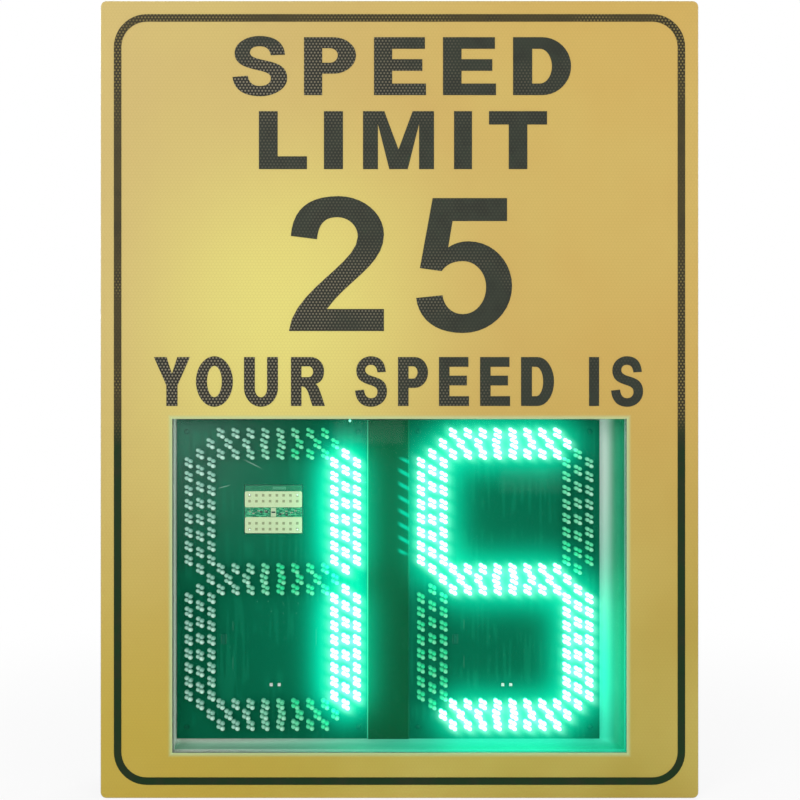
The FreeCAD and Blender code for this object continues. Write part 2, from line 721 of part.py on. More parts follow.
def make_lamps(side, board):
    middle = f"{board} + digit_aside"
    left = f"{middle} - {SEGMENT_SPAN} / 2"
    right = f"{middle} + {SEGMENT_SPAN} / 2"
    upper = f"{DIGIT_MIDDLE} + {SEGMENT_RISE} / 2"
    lower = f"{DIGIT_MIDDLE} - {SEGMENT_RISE} / 2"
    for name, x, z, upright in (
        ("top", middle, f"{DIGIT_MIDDLE} + {SEGMENT_RISE}", False),
        ("middle", middle, DIGIT_MIDDLE, False),
        ("bottom", middle, f"{DIGIT_MIDDLE} - {SEGMENT_RISE}", False),
        ("upper_left", left, upper, True),
        ("upper_right", right, upper, True),
        ("lower_left", left, lower, True),
        ("lower_right", right, lower, True),
    ):
        make_segment(f"lamps_{side}_{name}", x, z, upright)


# The radar module in the opening of the left board.

def make_radar():
    board = new_piece("radar_board", BOARD_FRONT, RADAR_MIDDLE, RADAR_LEVEL)
    outline = rectangle("-radar_width / 2", "radar_width / 2", "-radar_height / 2", "radar_height / 2")
    pad(board, polygons(board, [outline]), "board_sheet")
    places = radar_post_places()
    pocket(board, circles(board, places, "radar_post_tip"), "board_sheet")
    posts = new_piece("radar_posts", BOARD_BACK, RADAR_MIDDLE, RADAR_LEVEL)
    pad(posts, circles(posts, places, "radar_post"), "spacer_length")
    pad(posts, circles(posts, places, "radar_post_tip", "-board_sheet"), "board_sheet")
    for side, name in ((1, "upper"), (-1, "lower")):
        make_aerial("aerial_" + name, side)
    shield = new_piece(
        "radar_shield", BOARD_FRONT + " - shield_rise", RADAR_MIDDLE, f"{RADAR_LEVEL} - aerial_drop"
    )
    can = rectangle("-shield_width / 2", "shield_width / 2", "-shield_height / 2", "shield_height / 2")
    pad(shield, polygons(shield, [can]), "shield_rise")


def make_aerial(label, side):
    """A pale laminate panel with two rows of square patches, above or below the shield can."""
    level = f"{RADAR_LEVEL} - aerial_drop + {side} * aerial_spacing / 2"
    aerial = new_piece(label, BOARD_FRONT + " - aerial_sheet", RADAR_MIDDLE, level)
    outline = rectangle("-aerial_width / 2", "aerial_width / 2", "-aerial_height / 2", "aerial_height / 2")
    pad(aerial, rounded(aerial, outline, "aerial_corner"), "aerial_sheet")
    for row in (-1, 1):
        across = "-(patch_count - 1) / 2 * patch_pitch"
        up = f"{side} * patch_shift + {row} * patch_rise / 2"
        square = rectangle(
            f"{across} - patch_side / 2",
            f"{across} + patch_side / 2",
            f"{up} - patch_side / 2",
            f"{up} + patch_side / 2",
        )
        patch = pad(aerial, polygons(aerial, [square], "-patch_sheet"), "patch_sheet")
        run = aerial.newObject("PartDesign::LinearPattern", label + "_patches")
        run.Originals = [patch]
        run.Direction = (origin_feature(aerial, "X_Axis"), [""])
        run.Mode = "Spacing"
        bind(run, "Offset", "patch_pitch")
        bind(run, "Occurrences", "patch_count")
        aerial.Tip = run
        settle(run)


# The cabinet behind the plate, its rear cover and the brackets.

def make_cabinet():
    cabinet = new_piece("cabinet_shell", PLATE_BACK)
    pad(cabinet, rounded(cabinet, inside_face("0"), "corner_radius"), "cabinet_depth")
    hollow = rounded(cabinet, inside_face("cabinet_sheet"), "corner_radius - cabinet_sheet")
    pocket(cabinet, hollow, "cabinet_depth - cabinet_sheet")
    lip = rounded(cabinet, inside_face("cabinet_sheet / 2"), "corner_radius - cabinet_sheet / 2")
    pad(cabinet, lip, "cabinet_sheet")
    pocket(cabinet, polygons(cabinet, [inside_face("cabinet_flange")]), "cabinet_sheet")
    hole = "plate_stud + hole_clearance"
    pocket(cabinet, circles(cabinet, plate_stud_places(), hole), "cabinet_sheet")
    rear = "cabinet_depth - cabinet_sheet"
    pocket(cabinet, polygons(cabinet, [around_access("0")], rear), "cabinet_sheet")
    pocket(cabinet, circles(cabinet, cover_screw_places(), "cover_screw", rear), "cabinet_sheet")
    bolts = bracket_bolt_places(BRACKET_LEVELS["lower"]) + bracket_bolt_places(BRACKET_LEVELS["upper"])
    pocket(cabinet, circles(cabinet, bolts, "bracket_bolt + hole_clearance", rear), "cabinet_sheet")
    pocket(cabinet, circles(cabinet, [GLAND], "gland_thread", rear), "cabinet_sheet")
    nuts(
        "cabinet_nuts",
        plate_stud_places(),
        PLATE_BACK + " + cabinet_sheet",
        "plate_nut_flats",
        "plate_stud",
        "plate_nut_height",
    )


def make_cover():
    gasket = new_piece("cover_gasket", REAR_WALL)
    ring = [around_access("cover_gasket_width"), around_access("0")]
    pad(gasket, polygons(gasket, ring), "cover_gasket_sheet")
    cover = new_piece("rear_cover", COVER_FRONT)
    raised = "cover_lap - cover_rim"
    top = size("cover_sheet") + size("cover_rise")

    def at_top(direction, middle):
        return abs(middle.y - top) < TOUCH

    pad(cover, rounded(cover, around_access("cover_lap"), "cover_radius"), "cover_sheet")
    dome = pad(cover, polygons(cover, [around_access(raised)]), "cover_sheet + cover_rise")
    chamfer(cover, dome, pick_edges(dome, at_top), "cover_bevel")
    pocket(cover, polygons(cover, [around_access(f"{raised} - cover_bevel")]), "cover_rise")
    pocket(cover, circles(cover, cover_screw_places(), "cover_screw + hole_clearance"), "cover_sheet")
    screws = rods(
        "cover_screws",
        cover_screw_places(),
        COVER_FRONT + " + cover_sheet",
        "cover_screw_head",
        "cover_screw_crown",
    )
    shank = circles(screws, cover_screw_places(), "cover_screw", "-cover_screw_length")
    pad(screws, shank, "cover_screw_length")


def make_bracket(name, level):
    """A hat section folded from sheet, open to the wall, with a slot on each side of the middle."""
    bracket = new_piece("bracket_" + name, REAR_WALL, "-bracket_length / 2", level)
    half = "bracket_web / 2"
    foot = "bracket_web / 2 + bracket_foot"
    hollow = "bracket_standoff - bracket_sheet"
    inner = "bracket_web / 2 - bracket_sheet"
    section = [
        ("0", f"-({foot})"),
        ("bracket_sheet", f"-({foot})"),
        ("bracket_sheet", f"-({half})"),
        ("bracket_standoff", f"-({half})"),
        ("bracket_standoff", half),
        ("bracket_sheet", half),
        ("bracket_sheet", foot),
        ("0", foot),
        ("0", inner),
        (hollow, inner),
        (hollow, f"-({inner})"),
        ("0", f"-({inner})"),
    ]
    bar = bracket.newObject("PartDesign::Pad", bracket.Label + "_section")
    bar.Profile = polygons(bracket, [section], role="YZ_Plane")
    bind(bar, "Length", "bracket_length")
    settle(bar)
    for depth, height, radius in (
        (size("bracket_standoff"), size("bracket_web") / 2, "bracket_bend + bracket_sheet"),
        (
            size("bracket_standoff") - size("bracket_sheet"),
            size("bracket_web") / 2 - size("bracket_sheet"),
            "bracket_bend",
        ),
    ):

        def at_bend(direction, middle):
            level_edge = abs(direction.dot(ALONG_X)) > 1 - TOUCH
            return level_edge and abs(middle.y - depth) < TOUCH and abs(abs(middle.z) - height) < TOUCH

        bar = fillet(bracket, bar, pick_edges(bar, at_bend), radius)
    reach = "(slot_length - slot_width) / 2"
    middles = [f"bracket_length / 2 + {side} * slot_spacing / 2" for side in (-1, 1)]
    straights = [
        rectangle(f"{x} - {reach}", f"{x} + {reach}", "-slot_width / 2", "slot_width / 2") for x in middles
    ]
    pocket(bracket, polygons(bracket, straights, hollow), "bracket_sheet")
    ends = [(f"{x} + {side} * {reach}", "0") for x in middles for side in (-1, 1)]
    pocket(bracket, circles(bracket, ends, "slot_width", hollow), "bracket_sheet")
    across = ["bracket_bolt_inset", "bracket_length - bracket_bolt_inset"]
    up = "bracket_web / 2 + bracket_foot / 2"
    holes = circles(bracket, grid(across, [f"-({up})", up]), "bracket_bolt + hole_clearance")
    pocket(bracket, holes, "bracket_sheet")


def make_bracket_bolts():
    places = bracket_bolt_places(BRACKET_LEVELS["lower"]) + bracket_bolt_places(BRACKET_LEVELS["upper"])
    bolts = new_piece("bracket_bolts", REAR_WALL + " + bracket_sheet")
    for place in places:
        pad(bolts, polygons(bolts, [hexagon(place, "bracket_bolt_flats")]), "bracket_bolt_crown")
    shank = "bracket_sheet + cabinet_sheet + bracket_nut_height + bracket_bolt_tail"
    pad(bolts, circles(bolts, places, "bracket_bolt", f"-({shank})"), shank)
    nuts(
        "bracket_nuts",
        places,
        REAR_WALL + " - cabinet_sheet - bracket_nut_height",
        "bracket_bolt_flats",
        "bracket_bolt",
        "bracket_nut_height",
    )


# The cable gland in the rear wall, low on the right.

def make_gland():
    bore = "gland_thread - 2 * gland_wall"
    tail = "cabinet_sheet + gland_tail"
    middle = [("0", "0")]
    body = new_piece("gland_body", REAR_WALL, *GLAND)
    pad(body, polygons(body, [hexagon(("0", "0"), "gland_flats")]), "gland_collar")
    length = f"{tail} + gland_collar + gland_neck"
    pad(body, circles(body, middle, "gland_thread", f"-({tail})"), length)
    pocket(body, circles(body, middle, bore, f"-({tail})"), length)
    cap = new_piece("gland_cap", REAR_WALL + " + gland_collar", *GLAND)
    barrel = pad(cap, circles(cap, middle, "gland_cap_width"), "gland_cap")
    chamfer(cap, barrel, round_end_edges(barrel, size("gland_cap")), "(gland_cap - gland_neck) / 2")
    pocket(cap, circles(cap, middle, "gland_thread"), "gland_neck")
    pocket(cap, circles(cap, middle, "gland_cap_mouth"), "gland_cap")
    seal = new_piece("gland_seal", REAR_WALL + " + gland_collar", *GLAND)
    pad(seal, circles(seal, middle, bore), "gland_neck")
    pocket(seal, circles(seal, middle, "gland_cable"), "gland_neck")
    lock_nut = new_piece("gland_lock_nut", REAR_WALL + " - cabinet_sheet - gland_nut_height", *GLAND)
    pad(lock_nut, circles(lock_nut, middle, "gland_nut_width"), "gland_nut_height")
    pocket(lock_nut, circles(lock_nut, middle, "gland_thread"), "gland_nut_height")


def round_end_edges(feature, depth):
    """Names of the circles at one depth."""
    names = []
    for number, edge in enumerate(feature.Shape.Edges, start=1):
        if edge.Curve.TypeId == "Part::GeomCircle" and abs(edge.CenterOfMass.y - depth) < TOUCH:
            names.append(f"Edge{number}")
    return names


# The equipment plate above the window, with the power supply and the controller.

def make_equipment():
    plate = new_piece("equipment_plate", EQUIPMENT_FRONT)
    outline = rectangle(
        "-equipment_width / 2",
        "equipment_width / 2",
        f"{EQUIPMENT_MIDDLE} - equipment_height / 2",
        f"{EQUIPMENT_MIDDLE} + equipment_height / 2",
    )
    pad(plate, polygons(plate, [outline]), "equipment_sheet")
    places = equipment_stud_places()
    pocket(plate, circles(plate, places, "plate_stud + hole_clearance"), "equipment_sheet")
    rods("equipment_posts", places, PLATE_BACK, "equipment_post", "equipment_post_length", "plate_stud")
    nuts("equipment_nuts", places, EQUIPMENT_BACK, "plate_nut_flats", "plate_stud", "plate_nut_height")


def make_supply():
    middle = "-equipment_width / 2 + supply_margin + supply_width / 2"
    supply = new_piece("power_supply", EQUIPMENT_BACK, middle, EQUIPMENT_MIDDLE)
    foot = "-supply_length / 2"
    case = rectangle("-supply_width / 2", "supply_width / 2", foot, "supply_length / 2")
    pad(supply, polygons(supply, [case]), "supply_height")
    bay_front = "supply_height - supply_bay_depth"
    bay = rectangle("-supply_width / 2", "supply_width / 2", foot, f"{foot} + supply_bay")
    pocket(supply, polygons(supply, [bay], bay_front), "supply_bay_depth")
    strip = new_piece("supply_terminals", f"{EQUIPMENT_BACK} + {bay_front}", middle, EQUIPMENT_MIDDLE)
    half = "supply_width / 2 - supply_terminal_gap"
    block = rectangle(f"-({half})", half, f"{foot} + supply_bay - supply_terminal", f"{foot} + supply_bay")
    pad(strip, polygons(strip, [block]), "supply_terminal")


def make_controller():
    middle = "equipment_width / 2 - controller_margin - controller_width / 2"
    board = new_piece("controller_board", CONTROLLER_FRONT, middle, EQUIPMENT_MIDDLE)
    half_width = "controller_width / 2"
    half_height = "controller_height / 2"
    pad(
        board,
        polygons(board, [rectangle(f"-{half_width}", half_width, f"-{half_height}", half_height)]),
        "board_sheet",
    )
    places = controller_post_places()
    rods("controller_posts", places, EQUIPMENT_BACK, "controller_post", "controller_post_length")
    processor = new_piece("processor", CONTROLLER_BACK, middle, EQUIPMENT_MIDDLE)
    chip = rectangle("-processor_side / 2", "processor_side / 2", "-processor_side / 2", "processor_side / 2")
    pad(processor, polygons(processor, [chip]), "processor_rise")
    terminals = new_piece("controller_terminals", CONTROLLER_BACK, middle, EQUIPMENT_MIDDLE)
    base = f"-{half_height} + terminal_inset"
    strip = rectangle("-terminal_length / 2", "terminal_length / 2", base, f"{base} + terminal_width")
    pad(terminals, polygons(terminals, [strip]), "terminal_rise")


def write_parts():
    """Check every object and shape, then write one file for each sub-part."""
    doc.recompute()
    for thing in doc.Objects:
        if "Invalid" in thing.State or "Error" in thing.State:
            raise RuntimeError(f"{thing.Label} failed: {thing.State}")
    for piece in sub_parts:
        if piece.Shape.isNull() or not piece.Shape.isValid():
            raise RuntimeError(f"{piece.Label} has no valid shape")
    os.makedirs("parts", exist_ok=True)
    for piece in sub_parts:
        piece.Shape.exportStep(os.path.join("parts", piece.Label + ".step"))


make_film()
make_border()
make_plate()
make_window()
make_tray()
for side, middle in BOARDS.items():
    make_board(side, middle)
    make_lamps(side, middle)
make_pins()
make_board_fixings()
make_strip()
make_radar()
make_cabinet()
make_cover()
for name, level in BRACKET_LEVELS.items():
    make_bracket(name, level)
make_bracket_bolts()
make_gland()
make_equipment()
make_supply()
make_controller()
write_parts()
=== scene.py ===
import math
import random

import bmesh
import bpy
import numpy as np
from mathutils import Matrix, Vector


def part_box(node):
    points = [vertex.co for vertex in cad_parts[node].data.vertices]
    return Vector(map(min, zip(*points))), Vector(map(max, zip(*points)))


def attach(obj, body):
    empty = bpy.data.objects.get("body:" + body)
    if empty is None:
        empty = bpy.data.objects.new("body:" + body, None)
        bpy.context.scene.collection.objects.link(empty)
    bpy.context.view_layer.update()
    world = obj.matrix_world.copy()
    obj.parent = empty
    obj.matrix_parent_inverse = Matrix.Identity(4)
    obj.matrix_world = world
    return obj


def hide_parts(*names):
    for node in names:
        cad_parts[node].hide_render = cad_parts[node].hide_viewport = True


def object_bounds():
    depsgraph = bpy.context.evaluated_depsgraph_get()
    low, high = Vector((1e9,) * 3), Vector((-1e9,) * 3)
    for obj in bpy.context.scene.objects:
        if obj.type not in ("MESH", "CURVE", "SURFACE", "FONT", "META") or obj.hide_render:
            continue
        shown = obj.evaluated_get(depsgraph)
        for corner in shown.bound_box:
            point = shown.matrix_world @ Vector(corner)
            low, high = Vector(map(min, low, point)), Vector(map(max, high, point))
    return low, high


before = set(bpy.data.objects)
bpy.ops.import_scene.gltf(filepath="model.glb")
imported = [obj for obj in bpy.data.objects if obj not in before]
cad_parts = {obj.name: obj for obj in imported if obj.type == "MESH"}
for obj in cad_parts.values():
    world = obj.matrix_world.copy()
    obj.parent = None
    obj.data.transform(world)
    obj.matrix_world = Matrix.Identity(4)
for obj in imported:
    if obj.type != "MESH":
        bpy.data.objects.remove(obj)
cad_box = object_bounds()


# The reflective sheet is a yellow film of sealed honeycomb cells, stuck over the whole face.
# The cells show as a fine lattice and the tone drifts from gold to green; the film is painted paler to the
# left and darker towards the bottom as painted light and shade, with a painted highlight left of the middle
# and a painted pale highlight along the cut round the window.
MM = 0.001
CELL_PITCH = 3.4 * MM
WINDOW_HALF = (228 * MM, 167.5 * MM)
WINDOW_LEVEL = 213 * MM
RIM_HIGHLIGHT = (0.5 * MM, 5 * MM)


def paint(red, green, blue):
    """A colour from a paint chart, 0 to 255, on the shader's own scale."""
    tones = [tone / 255 for tone in (red, green, blue)]
    return tuple(t / 12.92 if t <= 0.04045 else ((t + 0.055) / 1.055) ** 2.4 for t in tones) + (1,)


def feed(node, place, source):
    """Give a node's input a number, a colour or another node's socket."""
    if isinstance(source, bpy.types.NodeSocket):
        node.id_data.links.new(source, node.inputs[place])
    else:
        node.inputs[place].default_value = source


def new_finish(name, rough, metal=0, gleam=0.5):
    """A new material, its shader and the spot being shaded."""
    material = bpy.data.materials.new(name)
    material.use_nodes = True
    shader = material.node_tree.nodes["Principled BSDF"]
    feed(shader, "Roughness", rough)
    feed(shader, "Metallic", metal)
    feed(shader, "Specular IOR Level", gleam)
    return material, shader, object_spot(shader)


def add(near, kind, sources, **settings):
    """A node in the tree of another node or socket, with its inputs fed."""
    node = near.id_data.nodes.new("ShaderNode" + kind)
    for key, setting in settings.items():
        setattr(node, key, setting)
    for place, source in sources.items():
        feed(node, place, source)
    return node


def calc(operation, *values):
    """A sum on readings, of which the first is a socket."""
    return add(values[0], "Math", dict(enumerate(values)), operation=operation).outputs[0]


def times(first, *others):
    """The product of readings."""
    for other in others:
        first = calc("MULTIPLY", first, other)
    return first


def vector(operation, *values):
    """A sum on places, of which the first is a socket."""
    return add(values[0], "VectorMath", dict(enumerate(values)), operation=operation).outputs[0]


def reach_of(place):
    """How far a place lies from the origin."""
    return add(place, "VectorMath", {0: place}, operation="LENGTH").outputs["Value"]


def object_spot(near):
    """Where a point lies on the sign."""
    return add(near, "TexCoord", {}).outputs["Object"]


def axes(spot):
    """How far a spot lies across, back and up."""
    return add(spot, "SeparateXYZ", {0: spot}).outputs


def spread(source, low, high, start=0, end=1):
    """A reading between low and high, turned into one between start and end."""
    sources = {0: source, 1: low, 2: high, 3: start, 4: end}
    return add(source, "MapRange", sources, interpolation_type="SMOOTHSTEP").outputs[0]


def blend(share, first, second):
    """A second colour laid into a first; each is a socket or a tone from a paint chart."""
    first, second = [paint(*tone) if isinstance(tone, tuple) else tone for tone in (first, second)]
    return add(share, "Mix", {0: share, 6: first, 7: second}, data_type="RGBA").outputs[2]


def clouds(spot, scale, detail=3):
    """A soft uneven reading between 0 and 1."""
    return add(spot, "TexNoise", {"Vector": spot, "Scale": scale, "Detail": detail}).outputs[0]


def relief(shader, height, depth, strength):
    """Raise the surface by a reading; the depth is in millimetres."""
    bump = add(shader, "Bump", {"Height": height, "Distance": depth * MM, "Strength": strength})
    feed(shader, "Normal", bump.outputs[0])


def honeycomb(spot):
    """How far a point of the face lies from the middle of its cell, in cell widths."""
    flat = vector("MULTIPLY", spot, (1, 0, 1))
    half = (CELL_PITCH / 2, 1, CELL_PITCH * math.sqrt(3) / 2)
    back = tuple(-reach for reach in half)
    reaches = []
    for shift in ((0, 0, 0), (half[0], 0, half[2])):
        reaches.append(reach_of(vector("WRAP", vector("ADD", flat, shift), half, back)))
    return calc("DIVIDE", calc("MINIMUM", *reaches), CELL_PITCH)


def clothe(names, material):
    """Give solids of the frame their finish."""
    for name in names:
        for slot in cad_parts[name].material_slots:
            slot.material = material


film, shader, spot = new_finish("yellow honeycomb film", 0.45, gleam=0.25)
side, _, height = axes(spot)
# Painted light and shade: paler to the left, darker and greener towards the bottom.
rightward = spread(side, -0.25, 0.22)
golden = blend(rightward, (201, 175, 108), (203, 168, 88))
low_tone = blend(rightward, (190, 164, 64), (172, 150, 60))
shaded_low = blend(spread(height, 0, 0.5), low_tone, golden)
drift = clouds(spot, 4)
drifted = blend(spread(drift, 0.4, 0.75, 0, 0.5), shaded_low, (208, 188, 106))
# A painted highlight: a paler patch left of the middle.
highlight_place = {"Vector": spot, "Location": (0.49, 0, -1.744), "Scale": (4.2, 0, 3.6)}
from_highlight = reach_of(add(spot, "Mapping", highlight_place).outputs[0])
pale = blend(spread(from_highlight, 0, 1, 0.75, 0), drifted, (230, 222, 122))
cell = honeycomb(spot)
lattice = spread(cell, 0.34, 0.52, 0, 0.16)
latticed = blend(lattice, pale, (168, 142, 62))
past_side = calc("SUBTRACT", calc("ABSOLUTE", side), WINDOW_HALF[0])
off_level = calc("ABSOLUTE", calc("SUBTRACT", height, WINDOW_LEVEL))
past_end = calc("SUBTRACT", off_level, WINDOW_HALF[1])
from_window = calc("MAXIMUM", past_side, past_end)
# A painted highlight: pale green along the cut round the window.
rim_highlight = spread(from_window, *RIM_HIGHLIGHT, 0.8, 0)
feed(shader, "Base Color", blend(rim_highlight, latticed, (182, 204, 150)))
relief(shader, spread(cell, 0.3, 0.5), 0.05, 0.4)
clothe(["reflective_sheet"], film)


# The border stripe is black ink film laid on the sheet, with round corners.
# The middles of the honeycomb cells show through it as paler specks, least in a band above the middle.
# Beside and below the window the ink is even, without specks, and slightly green.
EVEN_LEVEL = 615 * MM
EVEN_REACH = (50 * MM, 95 * MM)
LOW_INK_LEVEL = (350 * MM, 400 * MM)
LOW_INK = (6, 38, 2)


def sign_ink(name, dark, flat, speck_tone, left_specks, right_specks):
    """Black ink on honeycomb film, with paler specks over the cells in places."""
    material, shader, spot = new_finish(name, 0.5, gleam=0.2)
    side, _, height = axes(spot)
    cell = honeycomb(spot)
    speck = spread(cell, 0.14, 0.38, 1, 0)
    speck_side = spread(side, -0.3, 0.3, left_specks, right_specks)
    patches = spread(clouds(spot, 9), 0.4, 0.56, 0.15, 1)
    off_band = calc("ABSOLUTE", calc("SUBTRACT", height, EVEN_LEVEL))
    banded = spread(off_band, *EVEN_REACH, 0.25, 1)
    above_low_ink = spread(height, *LOW_INK_LEVEL)
    speck_amount = times(speck_side, times(patches, banded, above_low_ink))
    speck_share = times(speck, speck_amount)
    ink = blend(speck_amount, blend(above_low_ink, LOW_INK, flat), dark)
    uneven = blend(spread(clouds(spot, 60), 0.4, 0.7, 0, 0.4), ink, dark)
    feed(shader, "Base Color", blend(speck_share, uneven, speck_tone))
    relief(shader, cell, 0.05, 0.3)
    return material


border_ink = sign_ink("black border ink", (38, 33, 17), (64, 56, 26), (142, 126, 72), 0.7, 0.8)
clothe(["border_stripe"], border_ink)


# The legend is cut from the same black film as the stripe: two lines of wide capitals,
# a large number and one line of narrower capitals, each letter stuck on the sheet.
QUARTER = 0.5523
CURVE_STEPS = 10
WELD = 0.001 * MM
STRAIGHT = math.radians(0.5)
LETTERS = {
    "D": [
        [(0, 0), (0, 100), (50, 100), ("level", 100, 50), ("upright", 50, 0)],
        [(33, 20), (46, 20), ("level", 67, 50), ("upright", 46, 80), (33, 80)],
    ],
    "E": [[
        (0, 0), (0, 100), (98, 100), (98, 80), (35, 80), (35, 62), (93, 62), (93, 42), (35, 42), (35, 20),
        (100, 20), (100, 0),
    ]],
    "I": [[(0, 0), (0, 100), (100, 100), (100, 0)]],
    "L": [[(0, 0), (0, 100), (39, 100), (39, 22), (100, 22), (100, 0)]],
    "M": [[
        (0, 0), (0, 100), (30, 100), (50, 34), (70, 100), (100, 100), (100, 0), (79, 0), (79, 78), (63, 0),
        (37, 0), (21, 78), (21, 0),
    ]],
    "O": [
        [(50, 100), ("level", 100, 50), ("upright", 50, 0), ("level", 0, 50), ("upright", 50, 100)],
        [(50, 81), ("level", 30, 50), ("upright", 50, 19), ("level", 70, 50), ("upright", 50, 81)],
    ],
    "P": [
        [(0, 0), (0, 100), (56, 100), ("level", 100, 69), ("upright", 56, 37), (35, 37), (35, 0)],
        [(35, 56), (50, 56), ("level", 65, 69), ("upright", 50, 81), (35, 81)],
    ],
    "R": [
        [
            (0, 0), (0, 100), (58, 100), ("level", 97, 72), (97, 56, 88, 48, 72, 45),
            (82, 42, 86, 28, 100, 0), (63, 0), (50, 28, 48, 40, 31, 40), (31, 0),
        ],
        [(31, 59), (52, 59), ("level", 65, 70), ("upright", 52, 81), (31, 81)],
    ],
    "S": [[
        (96, 69), (94, 90, 77, 100, 49, 100), ("level", 4, 72), (4, 50, 30, 47, 52, 42),
        (66, 39, 70, 36, 70, 29), (70, 22, 62, 17, 50, 17), (37, 17, 30, 23, 28, 34), (0, 32),
        (3, 10, 22, 0, 51, 0), ("level", 100, 30), (100, 52, 78, 56, 52, 61), (38, 64, 32, 67, 32, 73),
        (32, 79, 39, 83, 49, 83), (62, 83, 68, 78, 70, 68),
    ]],
    "T": [[(34, 0), (34, 77), (0, 77), (0, 100), (100, 100), (100, 77), (66, 77), (66, 0)]],
    "U": [[
        (0, 100), (0, 38), ("upright", 50, 0), ("level", 100, 38), (100, 100), (68, 100), (68, 37),
        ("upright", 50, 19), ("level", 32, 37), (32, 100),
    ]],
    "Y": [[
        (0, 100), (35, 100), (50, 66), (65, 100), (100, 100), (65.5, 42), (65.5, 0), (34.5, 0), (34.5, 42),
    ]],
    "2": [[
        (2, 70.5), (4, 90, 20, 100, 52, 100), ("level", 100, 71.5), (100, 49, 62, 38, 40, 16.3),
        (100, 16.3), (100, 0), (0, 0), (4, 30, 72.5, 50, 72.5, 70), ("upright", 51, 84.4),
        (37, 84.4, 31, 79, 29.5, 68),
    ]],
    "5": [[
        (17.3, 100), (94.8, 100), (94.8, 83), (38, 83), (33.5, 63.5), (40, 66.5, 47, 68, 55, 68),
        ("level", 100, 34.8), ("upright", 49, 0), (20, 0, 3, 10, 0, 26), (27.6, 28),
        (29, 20, 37, 14, 49, 14), ("level", 73, 34), ("upright", 49, 53.3), (39, 53.3, 32, 51, 26.6, 45.9),
        (4, 48.1),
    ]],
}
LEGEND = {
    "legend_first_line": (705.3, 763.4, [
        ("S", -167.6, -112.6, 704.2, 764.6), ("P", -95.8, -43.6), ("E", -25.6, 26.6), ("E", 43.6, 96.8),
        ("D", 113.9, 172.1),
    ]),
    "legend_second_line": (631.1, 689.2, [
        ("L", -141, -92.8), ("I", -75.8, -56.7), ("M", -36.6, 34.6), ("I", 54.7, 72.7), ("T", 89.8, 148),
    ]),
    "legend_number": (468.7, 604, [("2", -110.9, -15.6), ("5", 16.6, 112.9, 466.7, 602)]),
    "legend_last_line": (393.5, 442.6, [
        ("Y", -246.3, -210.2), ("O", -204.2, -167.1, 392.7, 443.4), ("U", -156, -121.9, 392.7, 442.6),
        ("R", -108.9, -74.7), ("S", -44.6, -12.5, 392.7, 443.4), ("P", -1.5, 28.6), ("E", 39.6, 69.7),
        ("E", 80.8, 110.9), ("D", 121.9, 155), ("I", 190.1, 200.2), ("S", 212.2, 244.3, 392.7, 443.4),
    ]),
}
print_ink = sign_ink("black legend ink", (30, 31, 24), (44, 50, 39), (140, 130, 108), 1, 0.05)


def share(hundredths):
    """A place on a letter, as shares of its width and height."""
    return Vector([part / 100 for part in hundredths])


def letter_points(outline):
    """The corners of an outline, each with the two handles that bend its runs."""
    corners = [share(step[-2:]) for step in outline]
    points = [[corner, corner, corner] for corner in corners]
    for i, step in enumerate(outline):
        start, end = corners[i - 1], corners[i]
        if len(step) == 6:
            points[i - 1][2], points[i][0] = share(step[:2]), share(step[2:4])
            continue
        leave, arrive, reach = end, start, 1 / 3
        bends = {"level": (end.x, start.y), "upright": (start.x, end.y)}
        if step[0] in bends:
            leave = arrive = Vector(bends[step[0]])
            reach = QUARTER
        points[i - 1][2], points[i][0] = start.lerp(leave, reach), end.lerp(arrive, reach)
    return points


def put(name, data):
    """A new object in the scene."""
    thing = bpy.data.objects.new(name, data)
    bpy.context.scene.collection.objects.link(thing)
    return thing


def cast(name, shape):
    """The mesh of a shape that is done."""
    mesh = bpy.data.meshes.new(name)
    shape.to_mesh(mesh)
    shape.free()
    return mesh


def show(name, shape, material, slot):
    """Turn a shape that is done into a piece that rides on the sign."""
    mesh = cast(name, shape)
    mesh.materials.append(material)
    piece = put(name, mesh)
    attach(piece, "root")
    return piece


def cut_letters(name, base, cap, letters):
    """Letters cut from film as one piece; round ones have a base and a cap of their own."""
    curve = bpy.data.curves.new(name, "CURVE")
    curve.dimensions = "2D"
    curve.fill_mode = "BOTH"
    curve.resolution_u = CURVE_STEPS
    low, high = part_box("border_stripe")
    curve.extrude = (high.y - low.y) / 2
    for letter, left, right, *own in letters:
        bottom, top = own or (base, cap)
        for outline in LETTERS[letter]:
            points = letter_points(outline)
            if points[0][1] == points[-1][1]:
                points[0][0] = points.pop()[0]
            spline = curve.splines.new("BEZIER")
            spline.use_cyclic_u = True
            spline.bezier_points.add(len(points) - 1)
            for knot, spots in zip(spline.bezier_points, points):
                knot.handle_left_type = knot.handle_right_type = "FREE"
                placed = [(left + (right - left) * s.x, bottom + (top - bottom) * s.y, 0) for s in spots]
                knot.handle_left, knot.co, knot.handle_right = [Vector(p) * MM for p in placed]
    stencil = bpy.data.objects.new(name, curve)
    flat = bpy.data.meshes.new_from_object(stencil)
    cut = bmesh.new()
    cut.from_mesh(flat)
    bpy.data.objects.remove(stencil)
    bpy.data.meshes.remove(flat)
    bmesh.ops.remove_doubles(cut, verts=cut.verts, dist=WELD)
    bmesh.ops.dissolve_limit(cut, angle_limit=STRAIGHT, verts=cut.verts, edges=cut.edges)
    bmesh.ops.triangulate(cut, faces=cut.faces)
    bmesh.ops.recalc_face_normals(cut, faces=cut.faces)
    for face in cut.faces:
        face.smooth = False
    upright = Matrix.Translation((0, (low.y + high.y) / 2, 0)) @ Matrix.Rotation(math.pi / 2, 4, "X")
    bmesh.ops.transform(cut, matrix=upright, verts=cut.verts)
    show(name, cut, print_ink, "black_print")


for name, line in LEGEND.items():
    cut_letters(name, *line)


